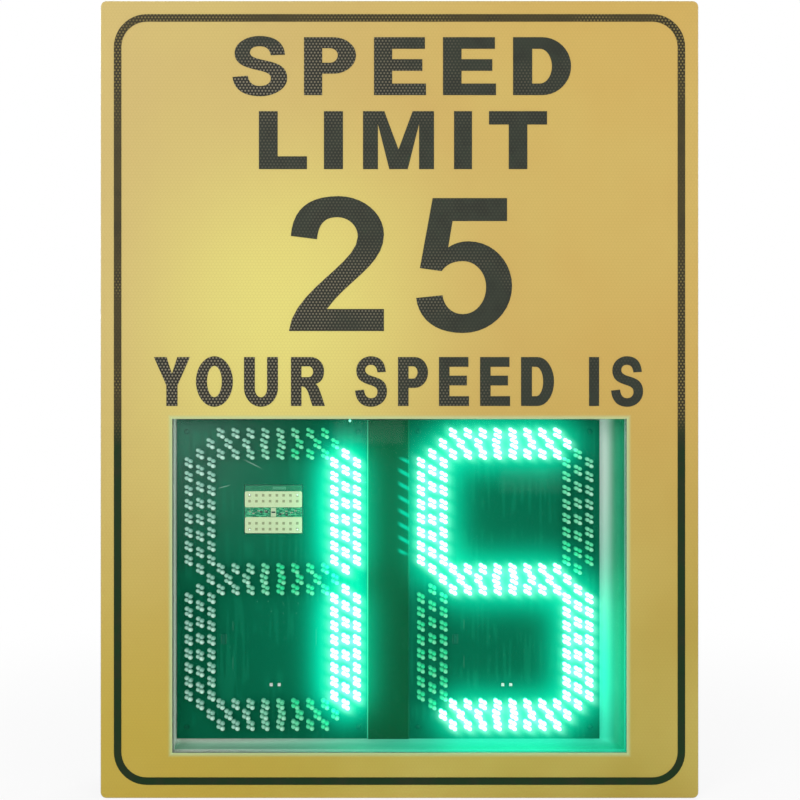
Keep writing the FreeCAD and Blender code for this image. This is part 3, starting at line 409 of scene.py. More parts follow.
# The sign plate is 3 mm aluminium sheet, sawn and filed, with studs welded to its back.
# Only its cut edges show, at the outside and round the window.
def worked(name, dark, light, grain, rough, metal=0, depth=0.01, stretch=(1, 1, 1), gleam=0.5):
    """A plain worked surface: two close tones, uneven gloss and a fine grain in relief."""
    material, shader, spot = new_finish(name, rough, metal, gleam)
    spot = vector("MULTIPLY", spot, stretch)
    fine = clouds(spot, grain, 5)
    broad = clouds(spot, grain / 40, 2)
    tone = blend(spread(fine, 0.3, 0.7), dark, light)
    uneven = spread(broad, 0.35, 0.65, 0, 0.5)
    feed(shader, "Base Color", blend(uneven, tone, dark))
    feed(shader, "Roughness", spread(broad, 0.3, 0.7, rough - 0.06, rough + 0.08))
    if depth:
        relief(shader, fine, depth, 0.5)
    return material


sawn_aluminium = worked("sawn aluminium", (176, 176, 172), (206, 206, 202), 900, 0.38, 0.85, 0.02, (1, 6, 1))
clothe(["sign_plate"], sawn_aluminium)


# The window gasket is a ring of black rubber strip between the plate and the pane.
# The same moulded rubber is used for the seal in the cable gland.
black_rubber = worked("black rubber", (20, 20, 20), (34, 34, 33), 700, 0.7, 0, 0.03)
clothe(["window_gasket", "gland_seal"], black_rubber)


# The lamp tray is a pan folded from steel sheet and sprayed white.
# Its floor shows right of the boards and below them; the green light of the lamps is painted into it and
# glows from it towards the lower right, and a painted shadow of the plate's edge lies dark green along the
# right and lower bends.
SIDE_SHADOW = (20 * MM, 5 * MM)
LOWER_SHADOW = (1 * MM, 7 * MM)
SHADOW_DEPTH = (12 * MM, 6 * MM)
SPILL_GREEN = (0, 1, 0.62)
TRAY_GLOW = 0.15


def shine(material, shader, tone, strength):
    """Let a surface glow without lighting what lies round it."""
    feed(shader, "Emission Color", tone)
    feed(shader, "Emission Strength", strength)
    material.cycles.emission_sampling = "NONE"


white_spray, shader, spot = new_finish("white sprayed steel", 0.5, gleam=0.3)
side, depth, height = axes(spot)
wall = WINDOW_HALF[0]
sill = WINDOW_LEVEL - WINDOW_HALF[1]
floor_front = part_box("digit_board_left")[0].y
rising = spread(height, sill + 0.06, sill + 0.3)
# Painted green lamp light, strongest low on the right.
lamp_lit_tone = blend(rising, (66, 226, 192), (216, 236, 226))
sprayed = blend(spread(side, -0.22, 0.08), (232, 242, 228), lamp_lit_tone)
# Painted shadow of the plate's edge, dark green, along the right and lower bends.
side_shadow = spread(side, wall - SIDE_SHADOW[0], wall - SIDE_SHADOW[1])
low_shadow = spread(height, sill + LOWER_SHADOW[0], sill + LOWER_SHADOW[1], 0.7, 0)
deep = spread(depth, floor_front - SHADOW_DEPTH[0], floor_front - SHADOW_DEPTH[1])
shaded = times(calc("MAXIMUM", side_shadow, low_shadow), deep)
shadow_green = blend(clouds(spot, 60), (26, 146, 104), (40, 164, 122))
feed(shader, "Base Color", blend(shaded, sprayed, shadow_green))
# A painted glow of lamp light on the tray, strongest low on the right.
low_share = spread(height, sill, sill + 0.26, 1, 0)
right_share = spread(side, -0.22, 0.06)
lamp_spill = times(low_share, right_share)
shine(white_spray, shader, (*SPILL_GREEN, 1), spread(lamp_spill, 0, 1, 0, TRAY_GLOW))
relief(shader, clouds(spot, 1100, 5), 0.02, 0.5)
clothe(["lamp_tray"], white_spray)


# Zinc plated nuts hold the tray, the cabinet and the equipment on the plate's studs,
# and the brackets' bolts from inside. The equipment posts are turned from the same steel.
zinc_plate = worked("zinc plated steel", (150, 152, 155), (190, 191, 188), 500, 0.34, 0.95)
clothe(["tray_nuts", "cabinet_nuts", "equipment_nuts", "bracket_nuts", "equipment_posts"], zinc_plate)


# The two digit boards are circuit boards with a dark green lacquer, screwed to spacers in the tray.
# Copper tracks run up and down under the lacquer, with rows of small soldered holes.
def stretched(spot, scale):
    """A spot drawn out or flattened along the axes."""
    return add(spot, "Mapping", {"Vector": spot, "Scale": scale}).outputs[0]


dark_lacquer, shader, spot = new_finish("dark board lacquer", 0.5, gleam=0.03)
columns = stretched(spot, (1, 0, 0.05))
tracks = spread(clouds(columns, 260, 0), 0.52, 0.58)
blocks = spread(clouds(spot, 26, 1), 0.45, 0.55)
track_share = times(tracks, blocks)
lacquer = blend(clouds(spot, 12), (0, 84, 57), (0, 92, 64))
traced = blend(track_share, lacquer, (4, 99, 70))
holes = add(spot, "TexVoronoi", {"Vector": spot, "Scale": 90, "Randomness": 0.6}).outputs["Distance"]
solder = spread(holes, 0.05, 0.08, 0.6, 0)
dotted = times(solder, blocks)
feed(shader, "Base Color", blend(dotted, traced, (44, 120, 95)))
relief(shader, track_share, 0.03, 0.6)
clothe(["digit_board_left", "digit_board_right"], dark_lacquer)


# The lamps are clear lamps with oval domes, soldered to the boards, four to a slanting pixel and
# twenty-four pixels to a segment. Lit segments glow green with white hot middles; unlit lamps near them have
# the green light painted in as a glow, and one lamp of each pixel carries a painted glint.
LAMP_SPOTS = [(-1.8, 3.6), (1.8, 1.65), (-1.8, -1.65), (1.8, -3.6)]
LAMP_SLANT = math.atan2(1.95, 3.6)
LAMP_OVAL = (1.26, 1, 1.02, 1)
# The lower right lamp of each pixel is palest: a painted glint.
LAMP_GLINTS = [0.4, 0.2, 0.4, 1]
LAMP_DOME = [(0, 0), (0.9, 0.22), (1.6, 0.95), (1.95, 2.1)]
LAMP_FOOT = [(1.95, 7.4), (2.05, 7.45), (2.05, 8.6), (0, 8.6)]
LAMP_SIDES = 8
PIXELS = 8
LEVEL_ROWS = [(-10.6, 15.143), (0, 18.057), (10.6, 15.143)]
UPRIGHT_ROWS = [(-11.5, 14.157), (0, 16.7), (11.5, 14.157)]
LEVEL_SEGMENTS = ["top", "middle", "bottom"]
UPRIGHT_SEGMENTS = ["upper_left", "upper_right", "lower_left", "lower_right"]
LIT = {
    "left": ["upper_right", "lower_right"],
    "right": ["top", "upper_left", "middle", "lower_right", "bottom"],
}
GLOW = {"left": 1, "right": 0.52}
LEAN = math.radians(1)
STRAY_REACH = 45 * MM
STRAY_FULL = 6
STRAY_GLOW = 0.25
TONED_STRAY = 0.25
LIT_GLOW = 1.6
RESIN_DEPTH = (1.9 * MM, 1 * MM)


def turned(profile, sides):
    """A mesh spun about Y from its half outline, as radius and depth in millimetres."""
    shape = bmesh.new()
    spots = [shape.verts.new((radius * MM, depth * MM, 0)) for radius, depth in profile]
    runs = [shape.edges.new(pair) for pair in zip(spots, spots[1:])]
    bent = {"cent": (0, 0, 0), "axis": (0, 1, 0), "angle": 2 * math.pi, "steps": sides}
    bmesh.ops.spin(shape, geom=spots + runs, use_merge=True, **bent)
    bmesh.ops.remove_doubles(shape, verts=shape.verts, dist=WELD)
    bmesh.ops.recalc_face_normals(shape, faces=shape.faces)
    for face in shape.faces:
        face.smooth = True
    return cast("pattern", shape)


def set_out(name, pattern, placements, material, slot, readings=None):
    """Copies of a pattern as one piece; readings by name tell the copies apart."""
    group = bmesh.new()
    layers = {label: group.verts.layers.float.new(label) for label in readings or {}}
    for number, placement in enumerate(placements):
        before = len(group.verts)
        group.from_mesh(pattern)
        group.verts.ensure_lookup_table()
        copied = group.verts[before:]
        bmesh.ops.transform(group, matrix=placement, verts=copied)
        for label, layer in layers.items():
            for vert in copied:
                vert[layer] = readings[label][number]
    return show(name, group, material, slot)


def centre_of(node):
    """The middle of a solid's box."""
    low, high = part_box(node)
    return (low + high) / 2


def pixel_places(side, segment):
    """The middles of a segment's pixels, in metres across and up."""
    middle = centre_of(f"lamps_{side}_{segment}")
    upright = segment in UPRIGHT_SEGMENTS
    places = []
    for aside, pitch in UPRIGHT_ROWS if upright else LEVEL_ROWS:
        for i in range(PIXELS):
            along = (i - (PIXELS - 1) / 2) * pitch
            across, up = (aside, along) if upright else (along, aside)
            places.append((middle.x + across * MM, middle.z + up * MM))
    return places


lit_segments = [(side, segment) for side in LIT for segment in LIT[side]]
lit_pixels = np.array([(*place, GLOW[pair[0]]) for pair in lit_segments for place in pixel_places(*pair)])


def lamp_light(sources, x, z, reach, stretch=1):
    """The light that comes to a place from weighted sources, drawn out along the slant."""
    away = sources[:, :2] - (x, z)
    along = away @ (math.cos(LAMP_SLANT), -math.sin(LAMP_SLANT)) / stretch
    across = away @ (math.sin(LAMP_SLANT), math.cos(LAMP_SLANT))
    return float(np.sum(sources[:, 2] * np.exp(-(along**2 + across**2) / (2 * reach**2))))


def attribute(near, name):
    """A reading stored with a mesh."""
    return add(near, "Attribute", {}, attribute_name=name).outputs["Fac"]


def lamp_finish(name, base, dull_tip, glint_tip, stray_tip, least_glow, most_glow):
    """Clear resin, deeper in tone towards the board, with painted glints and the light of lamps near it
    painted in as a glow.
    """
    material, shader, spot = new_finish(name, 0.2, gleam=0.2)
    low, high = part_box("lamps_left_top")
    depth = axes(spot)[1]
    stray = attribute(shader, "stray")
    glinted_tip = blend(attribute(shader, "tone"), dull_tip, glint_tip)
    tip = blend(stray, glinted_tip, stray_tip)
    deep = spread(depth, low.y + RESIN_DEPTH[0], high.y - RESIN_DEPTH[1])
    resin = blend(deep, tip, base)
    feed(shader, "Base Color", resin)
    shine(material, shader, resin, spread(stray, 0, 1, least_glow, most_glow))
    return material


dark_tones = [(48, 138, 110), (122, 178, 160), (190, 228, 212), (16, 192, 128)]
lit_tones = [(0, 190, 140), (150, 250, 222), (214, 255, 242), (196, 255, 236)]
dark_lamp = lamp_finish("clear lamp resin", *dark_tones, 0, STRAY_GLOW)
lit_lamp = lamp_finish("glowing lamp resin", *lit_tones, LIT_GLOW, LIT_GLOW)
lamp = turned(LAMP_DOME + LAMP_FOOT, LAMP_SIDES)
hand = random.Random(11)
for side in LIT:
    for segment in LEVEL_SEGMENTS + UPRIGHT_SEGMENTS:
        node = f"lamps_{side}_{segment}"
        low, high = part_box(node)
        sit = Matrix.Translation((0, high.y - low.y, 0))
        placements = []
        readings = {"tone": [], "stray": []}
        for across, up in pixel_places(side, segment):
            # The light of lit lamps, painted onto each lamp as a green glow.
            lamp_spill = min(1, lamp_light(lit_pixels, across, up, STRAY_REACH) / STRAY_FULL)
            for (spot_x, spot_z), tone in zip(LAMP_SPOTS, LAMP_GLINTS):
                foot = Matrix.Translation((across + spot_x * MM, low.y, up + spot_z * MM))
                tilt = Matrix.Rotation(hand.uniform(-LEAN, LEAN), 4, "X")
                swing = Matrix.Rotation(hand.uniform(-LEAN, LEAN), 4, "Z")
                oval = Matrix.Rotation(LAMP_SLANT, 4, "Y") @ Matrix.Diagonal(LAMP_OVAL)
                placements.append(foot @ sit @ tilt @ swing @ sit.inverted() @ oval)
                readings["tone"].append(tone)
                readings["stray"].append(lamp_spill * (1 - TONED_STRAY * tone))
        resin, slot = (lit_lamp, "lamp_lit") if segment in LIT[side] else (dark_lamp, "lamp_dark")
        piece = set_out("dressed_" + node, lamp, placements, resin, slot, readings)
        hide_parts(node)


# Each board has one driver chip soldered flat on it, low on the left, and lacquered over with the board.
# Short wire links stand beside it, and a row of solder dots lies below the left board's middle segment.
CHIP_PLACE = (-49.7, -60.9)
CHIP_SIZE = (3.9, 1.5, 9.9)
LEG_SIZE = (1.1, 0.3, 0.5)
LEG_PITCH = 1.27
LEGS = 8
LINKS = {
    "left": [(-40.4, -47.6, 9), (-40.4, -85.9, 12), (44.4, -58.8, 17)],
    "right": [(-40.8, -45.6, 9), (-40.8, -84, 12)],
}
LINK_WIDTH = 0.5
SOLDER_DOTS = [
    (-15.7, -22.6), (-4.5, -22.6), (10.8, -24.6), (26, -24.6), (-1.5, -32.8), (10.8, -34.8), (24, -34.8),
]
DOT_HEIGHT = 0.5
DOT_PROFILE = [(0, 0), (0.45, 0.15), (0.65, DOT_HEIGHT), (0, DOT_HEIGHT)]
DOT_SIDES = 8


def block(shape, centre, size, bevel):
    """A block with broken edges, added to a shape; sizes in millimetres."""
    made = bmesh.ops.create_cube(shape, size=1)["verts"]
    bmesh.ops.scale(shape, vec=Vector(size) * MM, verts=made)
    bmesh.ops.translate(shape, vec=centre, verts=made)
    if not bevel:
        return made
    edges = list({edge for vert in made for edge in vert.link_edges})
    rim = {"offset": bevel * MM, "affect": "EDGES", "segments": 1, "profile": 0.5, "material": -1}
    return bmesh.ops.bevel(shape, geom=edges, **rim)["verts"]


def beside(middle, across, up, depth):
    """A place at a depth, some millimetres across and up from a middle."""
    return Vector((middle.x + across * MM, depth, middle.z + up * MM))


chip_resin = worked("chip resin", (24, 25, 26), (38, 39, 40), 1500, 0.55)
tinned = worked("tinned metal", (176, 184, 178), (222, 226, 220), 800, 0.3, 0.9)
coated_resin = worked("lacquered resin", (12, 86, 64), (18, 96, 73), 1500, 0.5, gleam=0.05)
coated_tin = worked("lacquered tin", (44, 118, 92), (66, 138, 112), 800, 0.45, gleam=0.05)
for side in LIT:
    middle = centre_of("digit_board_" + side)
    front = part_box("digit_board_" + side)[0].y
    centre = beside(middle, *CHIP_PLACE, front)
    body = bmesh.new()
    block(body, centre + Vector((0, -CHIP_SIZE[1] / 2 * MM, 0)), CHIP_SIZE, 0.25)
    show(f"driver_chip_{side}", body, coated_resin, "digit_board")
    legs = bmesh.new()
    for i in range(LEGS):
        for turn in (-1, 1):
            reach = turn * (CHIP_SIZE[0] + LEG_SIZE[0]) / 2
            step = (i - (LEGS - 1) / 2) * LEG_PITCH
            block(legs, centre + Vector((reach, -LEG_SIZE[1] / 2, step)) * MM, LEG_SIZE, 0)
    show(f"driver_legs_{side}", legs, coated_tin, "pale_pin")
    links = bmesh.new()
    for across, up, height in LINKS[side]:
        seat = beside(middle, across, up, front - LINK_WIDTH / 2 * MM)
        block(links, seat, (LINK_WIDTH, LINK_WIDTH, height), 0.12)
    show(f"board_links_{side}", links, coated_tin, "pale_pin")
middle = centre_of("digit_board_left")
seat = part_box("digit_board_left")[0].y - DOT_HEIGHT * MM
dot_places = [Matrix.Translation(beside(middle, *place, seat)) for place in SOLDER_DOTS]
set_out("board_solder_dots", turned(DOT_PROFILE, DOT_SIDES), dot_places, coated_tin, "pale_pin")


# Two square tinned pins on each board take its supply leads from behind.
# They catch the light as pale dots below the middle of each digit.
clothe(["supply_pins"], tinned)


# Each board stands on four moulded nylon spacers, as the radar board and the controller do on posts.
# The nylon is milky and slightly waxy.
milky_nylon = worked("milky nylon", (206, 204, 192), (224, 222, 212), 300, 0.42)
clothe(["board_spacers", "radar_posts", "controller_posts"], milky_nylon)


# The boards' screws are small pan heads with a cross recess, driven into the tray's floor.
# Each head is turned, its recess pressed in, and the lacquer of the board sprayed over it.
SCREW_HEAD = [(0, 0.25), (0.75, 0.3), (1.5, 0.45), (2.3, 0.95), (2.7, 1.6), (2.75, 2)]
SCREW_SHANK = [(1.5, 2), (1.5, 9), (0, 9)]
SCREW_INSET = (10 * MM, 12 * MM)
SCREW_SIDES = 16
CROSS_ARM = (2.9, 0.5, 0.75)
CROSS_DEPTH = 0.32 * MM
CROSS_TURNS = (0.3, 0.4)


def corner_places(low, high, inset, depth):
    """Placements at the corners of a box, set in from its sides."""
    sides = (low.x + inset[0], high.x - inset[0])
    levels = (low.z + inset[1], high.z - inset[1])
    return [Matrix.Translation((x, depth, z)) for x in sides for z in levels]


coated_steel = worked("lacquered steel", (0, 80, 54), (4, 92, 64), 900, 0.4, gleam=0.05)
screw = turned(SCREW_HEAD + SCREW_SHANK, SCREW_SIDES)
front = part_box("board_screws")[0].y
screw_places = []
for side in LIT:
    screw_places += corner_places(*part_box("digit_board_" + side), SCREW_INSET, front)
heads = set_out("dressed_board_screws", screw, screw_places, coated_steel, "dark_screw")
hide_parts("board_screws")
recess = bmesh.new()
for number, placement in enumerate(screw_places):
    first_turn = CROSS_TURNS[0] + CROSS_TURNS[1] * number
    for turn in (first_turn, first_turn + math.pi / 2):
        arm = block(recess, Vector((0, CROSS_DEPTH, 0)), CROSS_ARM, 0)
        bmesh.ops.transform(recess, matrix=placement @ Matrix.Rotation(turn, 4, "Y"), verts=arm)
show("board_screw_recesses", recess, coated_resin, "dark_screw")


# The strip between the boards is glossy black plastic, bevelled along both sides, its tone painted green
# with lamp light.
# It covers the gap between them; lamp light is painted on its frosted bevels, brightest on the left one,
# which glows, and the reflection of a lit column is painted on it as a row of slanting glowing dashes.
EDGE_GLOW = 0.3
LIT_EDGE = 1 * MM
IMAGE_GLOW = 0.5
IMAGE_RISE = 4.9 * MM
IMAGE_SHARE = 0.965
DULL_BEVEL = 0.2
IMAGE_RUN = (1.5 * MM, 9.5 * MM)
IMAGE_HALF = 1.6 * MM
IMAGE_SOFT = (4 * MM, 2 * MM)
BEVEL_DEPTH = (0.1 * MM, 0.5 * MM)
GLOW_END = (20 * MM, 14 * MM)


def within(reading, start, end, outer, inner):
    """1 from start to end and 0 outside, with a soft run at both that reaches out and in."""
    begun = spread(reading, start - outer, start + inner)
    ended = spread(reading, end - inner, end + outer, 1, 0)
    return times(begun, ended)


black_gloss, shader, spot = new_finish("glossy black plastic", 0.2, gleam=0.06)
side, depth, height = axes(spot)
low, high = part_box("centre_strip")
streaks = stretched(spot, (1, 1, 0.06))
# Painted green lamp light in the black plastic's tone.
shade = blend(clouds(streaks, 240), (0, 76, 42), (2, 84, 48))
# Painted lamp light on the bevels, brightest on the left.
bevel = spread(depth, low.y + BEVEL_DEPTH[0], low.y + BEVEL_DEPTH[1])
bright_side = spread(side, low.x + LIT_EDGE, high.x - LIT_EDGE, 1, DULL_BEVEL)
bright_bevel = times(bevel, bright_side)
feed(shader, "Base Color", blend(bright_bevel, shade, (60, 150, 120)))
feed(shader, "Roughness", spread(clouds(spot, 45), 0.3, 0.7, 0.16, 0.3))
# The left bevel also glows with painted lamp light.
left_bevel = spread(side, low.x, low.x + LIT_EDGE, 1, 0)
lit_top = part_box("lamps_left_upper_right")[1].z
lit_run = spread(height, lit_top - GLOW_END[0], lit_top + GLOW_END[1], 1, 0.25)
edge_glow = times(left_bevel, lit_run, bevel, EDGE_GLOW)
# A painted reflection of a lit column: glowing slanting dashes.
column = np.array([place[1] for place in pixel_places("right", "upper_left")[:PIXELS]])
column = column.mean() + (column - column.mean()) * IMAGE_SHARE + IMAGE_RISE
pitch = column[1] - column[0]
fall = calc("MULTIPLY_ADD", side, math.tan(LAMP_SLANT), height)
middle_fall = (high.x - sum(IMAGE_RUN) / 2) * math.tan(LAMP_SLANT)
step = calc("SUBTRACT", fall, column[0] + middle_fall)
off_dash = calc("ABSOLUTE", calc("WRAP", step, pitch / 2, -pitch / 2))
image = spread(off_dash, IMAGE_HALF / 2, IMAGE_HALF * 2, IMAGE_GLOW, 0)
runs = [(side, high.x - IMAGE_RUN[1], high.x - IMAGE_RUN[0]), (height, column[0], column[-1])]
for run in runs:
    image = times(within(*run, *IMAGE_SOFT), image)
shine(black_gloss, shader, (*SPILL_GREEN, 1), calc("ADD", edge_glow, image))
clothe(["centre_strip"], black_gloss)


# The radar board is a small green circuit board set in the left board's opening.
# Fine tracks and soldered dots fill the part that its two aerial panels leave free.
BUSY_STRIP = (8 * MM, 14 * MM)
green_lacquer, shader, spot = new_finish("green board lacquer", 0.32, gleam=0.2)
ways = stretched(spot, (0.2, 0, 1))
tracks = spread(clouds(ways, 900, 1), 0.5, 0.56)
lacquer = blend(clouds(spot, 120), (10, 98, 66), (20, 116, 80))
level = centre_of("radar_board").z
busy = spread(axes(spot)[2], level + BUSY_STRIP[0], level + BUSY_STRIP[1], 1, 0.15)
track_share = times(tracks, busy)
traced = blend(track_share, lacquer, (70, 176, 124))
dots = add(spot, "TexVoronoi", {"Vector": spot, "Scale": 420, "Randomness": 0.8}).outputs["Distance"]
solder = spread(dots, 0.12, 0.2, 0.8, 0)
solder_share = times(solder, busy)
feed(shader, "Base Color", blend(solder_share, traced, (168, 190, 160)))
relief(shader, tracks, 0.03, 0.6)
clothe(["radar_board", "controller_board"], green_lacquer)


# The two aerial panels are cream laminate with two rows of etched square patches; painted lamp light tints
# both green.
# The patches stand a hair proud of the laminate and are dulled gold.
PATCH_DEPTH = 0.1 * MM
cream_laminate, shader, spot = new_finish("cream aerial laminate", 0.45)
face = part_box("aerial_upper")[0].y
patch = calc("LESS_THAN", axes(spot)[1], face + PATCH_DEPTH)
# The green in these tones is painted lamp light.
weave = blend(clouds(spot, 500), (180, 198, 152), (196, 212, 168))
feed(shader, "Base Color", blend(patch, weave, (134, 140, 102)))
relief(shader, clouds(spot, 1400), 0.02, 0.4)
clothe(["aerial_upper", "aerial_lower"], cream_laminate)


# A pale can shields the radar chip between the panels, with a dark slot across its lid.
# Small tan and dark parts with bright ends are soldered to the free strip of board beside it.
SMALL_PARTS = [
    (-24, 0.6), (-20.5, -1.2), (-15, 1.4), (-8, 1.2), (9.5, -1.1), (13, 0.9), (18.5, -0.3), (22.5, 1.3),
]
SMALL_SIZE = (1.4, 0.8, 1)
END_SIZE = (0.4, 0.8, 1)
END_REACH = 0.85
DARK_PARTS = [(-12.5, 0.2), (-7, 0.1), (7, -1.9), (13.5, -2.6)]
DARK_SIZE = (2.4, 1, 1.8)
LID_SLOT = (4, 0.3, 1.6)
LID_SLOT_RISE = 0.05 * MM
can_paint = worked("painted can", (172, 190, 150), (188, 204, 166), 700, 0.45)
clothe(["radar_shield"], can_paint)
tan_ceramic = worked("tan ceramic", (122, 116, 86), (150, 142, 108), 1200, 0.5, depth=0)
board_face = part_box("radar_board")[0].y
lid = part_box("radar_shield")[0].y
centre = centre_of("radar_shield")
ceramic = bmesh.new()
ends = bmesh.new()
dark_parts = bmesh.new()
for across, up in SMALL_PARTS:
    seat = beside(centre, across, up, board_face - SMALL_SIZE[1] / 2 * MM)
    block(ceramic, seat, SMALL_SIZE, 0.08)
    for turn in (-1, 1):
        block(ends, seat + Vector((turn * END_REACH * MM, 0, 0)), END_SIZE, 0.05)
for across, up in DARK_PARTS:
    seat = beside(centre, across, up, board_face - DARK_SIZE[1] / 2 * MM)
    block(dark_parts, seat, DARK_SIZE, 0.12)
block(dark_parts, beside(centre, 0, 0, lid - LID_SLOT_RISE), LID_SLOT, 0.05)
show("radar_small_parts", ceramic, tan_ceramic, "radar_green")
show("radar_part_ends", ends, tinned, "shield_metal")
show("radar_dark_parts", dark_parts, chip_resin, "radar_green")


# Bright rivets hold the panels at their outer corners, and a mint connector sits on the board's top edge.
# The rivets have domed heads; the connector is moulded with a chamfered lid.
RIVET_PROFILE = [(0, 0), (0.6, 0.08), (1.05, 0.35), (1.2, 0.8), (0, 0.8)]
RIVET_SIDES = 12
RIVET_INSET = (4.8 * MM, 3.6 * MM)
RIVET_RISE = 0.6 * MM
CONNECTOR_SIZE = (14, 1.6, 3.6)
CONNECTOR_PLACE = (35 * MM, 0.3 * MM)
rivet = turned(RIVET_PROFILE, RIVET_SIDES)
low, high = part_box("aerial_lower")[0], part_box("aerial_upper")[1]
rivet_places = corner_places(low, high, RIVET_INSET, low.y - RIVET_RISE)
bright_rivet = worked("bright rivet", (222, 232, 216), (240, 246, 236), 900, 0.25, 0.5)
set_out("aerial_rivets", rivet, rivet_places, bright_rivet, "shield_metal")
mint_plastic = worked("mint plastic", (40, 128, 92), (54, 144, 106), 600, 0.5, 0, 0.02)
connector = bmesh.new()
board_low, board_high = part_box("radar_board")
lift = (high.z + board_high.z) / 2 + CONNECTOR_PLACE[1]
seat = Vector((low.x + CONNECTOR_PLACE[0], board_low.y - CONNECTOR_SIZE[1] / 2 * MM, lift))
block(connector, seat, CONNECTOR_SIZE, 0.5)
show("radar_connector", connector, mint_plastic, "radar_green")


# The pane is clear polycarbonate sheet, clamped behind the plate on its gasket.
# It carries a faint dust with a painted bloom that glows in front of lit lamps, a few scratches from wiping,
# a painted glint near the top and two painted reflections.
PANE_CUTS = 260
BLOOM = {
    "core_glow": (2.3 * MM, 2.2, 0.21, 0.8),
    "near_glow": (16 * MM, 1, 0.2, 0.62),
    "far_glow": (75 * MM, 1, 0.0013, 0.2),
}
STRIP_SHARE = 0.4
DUST = 0.05
MARK_VEIL = 0.14
HAZE_REACH = (170 * MM, 190 * MM)
REFLECTION_EDGE = 4 * MM
# Scratches as across, up, turn, length, width and strength; the last row is a painted glint, a bright spot
# of light on the pane.
SCRATCHES_AND_GLINT = [(-148, 335, 0.46, 13, 0.5, 1), (-177, 312, -0.25, 8, 0.45, 1), (-50, 378.8, 0, 1.6, 2, 5)]
# Two pale painted reflections of the room, as left, right, bottom, top and strength.
PANE_REFLECTIONS = [(-66, 4, 356, 380, 0.3), (102, 164, 306, 330, 0.2)]
low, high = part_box("window_pane")
middle = centre_of("window_pane")
sheet = bmesh.new()
bmesh.ops.create_cube(sheet, size=1)
bmesh.ops.scale(sheet, vec=high - low, verts=sheet.verts)
bmesh.ops.translate(sheet, vec=middle, verts=sheet.verts)
front_edges = [e for e in sheet.edges if all(v.co.y < middle.y for v in e.verts)]
bmesh.ops.subdivide_edges(sheet, edges=front_edges, cuts=PANE_CUTS, use_grid_fill=True)
lit_lamps = np.concatenate([lit_pixels + np.array((x * MM, z * MM, 0)) for x, z in LAMP_SPOTS])
lit_lamps[:, 2] = 1
strip_low, strip_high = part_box("centre_strip")
# A painted glow of the lit lamps on the pane, in three reaches.
layers = {label: sheet.verts.layers.float.new(label) for label in BLOOM}
for vert in sheet.verts:
    if vert.co.y < middle.y:
        share = STRIP_SHARE if strip_low.x < vert.co.x < strip_high.x else 1
        for label, (reach, stretch, strength, most) in BLOOM.items():
            sources = lit_lamps if label == "core_glow" else lit_pixels
            light = strength * lamp_light(sources, vert.co.x, vert.co.z, reach, stretch)
            vert[layers[label]] = min(most, light) * share
clear_pane, shader, spot = new_finish("clear polycarbonate", 0.3, gleam=0.1)
side, _, height = axes(spot)
drawn = add(spot, "Mapping", {"Vector": spot, "Rotation": (0, -0.35, 0), "Scale": (9, 1, 150)}).outputs[0]
marks_and_glint = spread(clouds(drawn, 1.6, 4), 0.72, 0.8, 0, 0.3)
for across, up, turn, length, width, strength in SCRATCHES_AND_GLINT:
    seat = (across * MM, 0, up * MM)
    flat = vector("MULTIPLY", vector("SUBTRACT", spot, seat), (1, 0, 1))
    shape = {"Vector": flat, "Rotation": (0, turn, 0), "Scale": (length * MM, 1, width * MM)}
    reach = reach_of(add(spot, "Mapping", shape, vector_type="TEXTURE").outputs[0])
    mark_shape = spread(reach, 0.6, 1, strength, 0)
    marks_and_glint = calc("MAXIMUM", marks_and_glint, mark_shape)
feed(shader, "Alpha", calc("MULTIPLY_ADD", marks_and_glint, MARK_VEIL, DUST))
glow = 0
for label in BLOOM:
    glow = calc("MULTIPLY_ADD", attribute(shader, label), 1 / DUST, glow)
tones = {0: attribute(shader, "core_glow"), 6: (0, 1, 0.6, 1), 7: (0.55, 1, 0.88, 1)}
glow_tone = add(shader, "Mix", tones, data_type="RGBA").outputs[2]
shine(clear_pane, shader, glow_tone, glow)
hazy_side = spread(side, low.x, low.x + HAZE_REACH[0], 1, 0)
hazy_top = spread(height, high.z - HAZE_REACH[1], high.z)
haze_and_reflections = times(hazy_side, hazy_top)
# Lay the painted reflections over the dust.
for left, right, bottom, top, reflection in PANE_REFLECTIONS:
    for reading, start, end in ((side, left, right), (height, bottom, top)):
        run = within(reading, start * MM, end * MM, REFLECTION_EDGE, REFLECTION_EDGE)
        reflection = times(run, reflection)
    haze_and_reflections = calc("MAXIMUM", haze_and_reflections, reflection)
overlaid = blend(haze_and_reflections, (0, 60, 40), (180, 206, 206))
feed(shader, "Base Color", blend(marks_and_glint, overlaid, (206, 228, 218)))
pane = show("dressed_window_pane", sheet, clear_pane, "clear_pane")
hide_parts("window_pane")


# The cabinet is a shallow box folded from steel sheet behind the plate, powder coated grey.
# The rear cover is pressed from the same sheet; rain has left faint streaks down both.
grey_coat, shader, spot = new_finish("grey powder coat", 0.5)
peel = clouds(spot, 900, 2)
streaks = stretched(spot, (1, 1, 0.05))
washed = spread(clouds(streaks, 34, 4), 0.52, 0.75, 0, 0.45)
coat = blend(peel, (150, 154, 155), (162, 166, 167))
overlaid = blend(washed, coat, (134, 135, 130))
soiled = spread(axes(spot)[2], 0, 0.07, 0.35, 0)
feed(shader, "Base Color", blend(soiled, overlaid, (118, 112, 100)))
feed(shader, "Roughness", spread(peel, 0.3, 0.7, 0.42, 0.58))
relief(shader, peel, 0.06, 0.5)
clothe(["cabinet_shell", "rear_cover"], grey_coat)


# The cover seals on a ring of black foam strip, squeezed between it and the rear wall.
# Only its cut edge shows in the gap.
black_foam = worked("black foam", (16, 16, 16), (32, 32, 32), 1600, 0.9, 0, 0.2)
clothe(["cover_gasket"], black_foam)


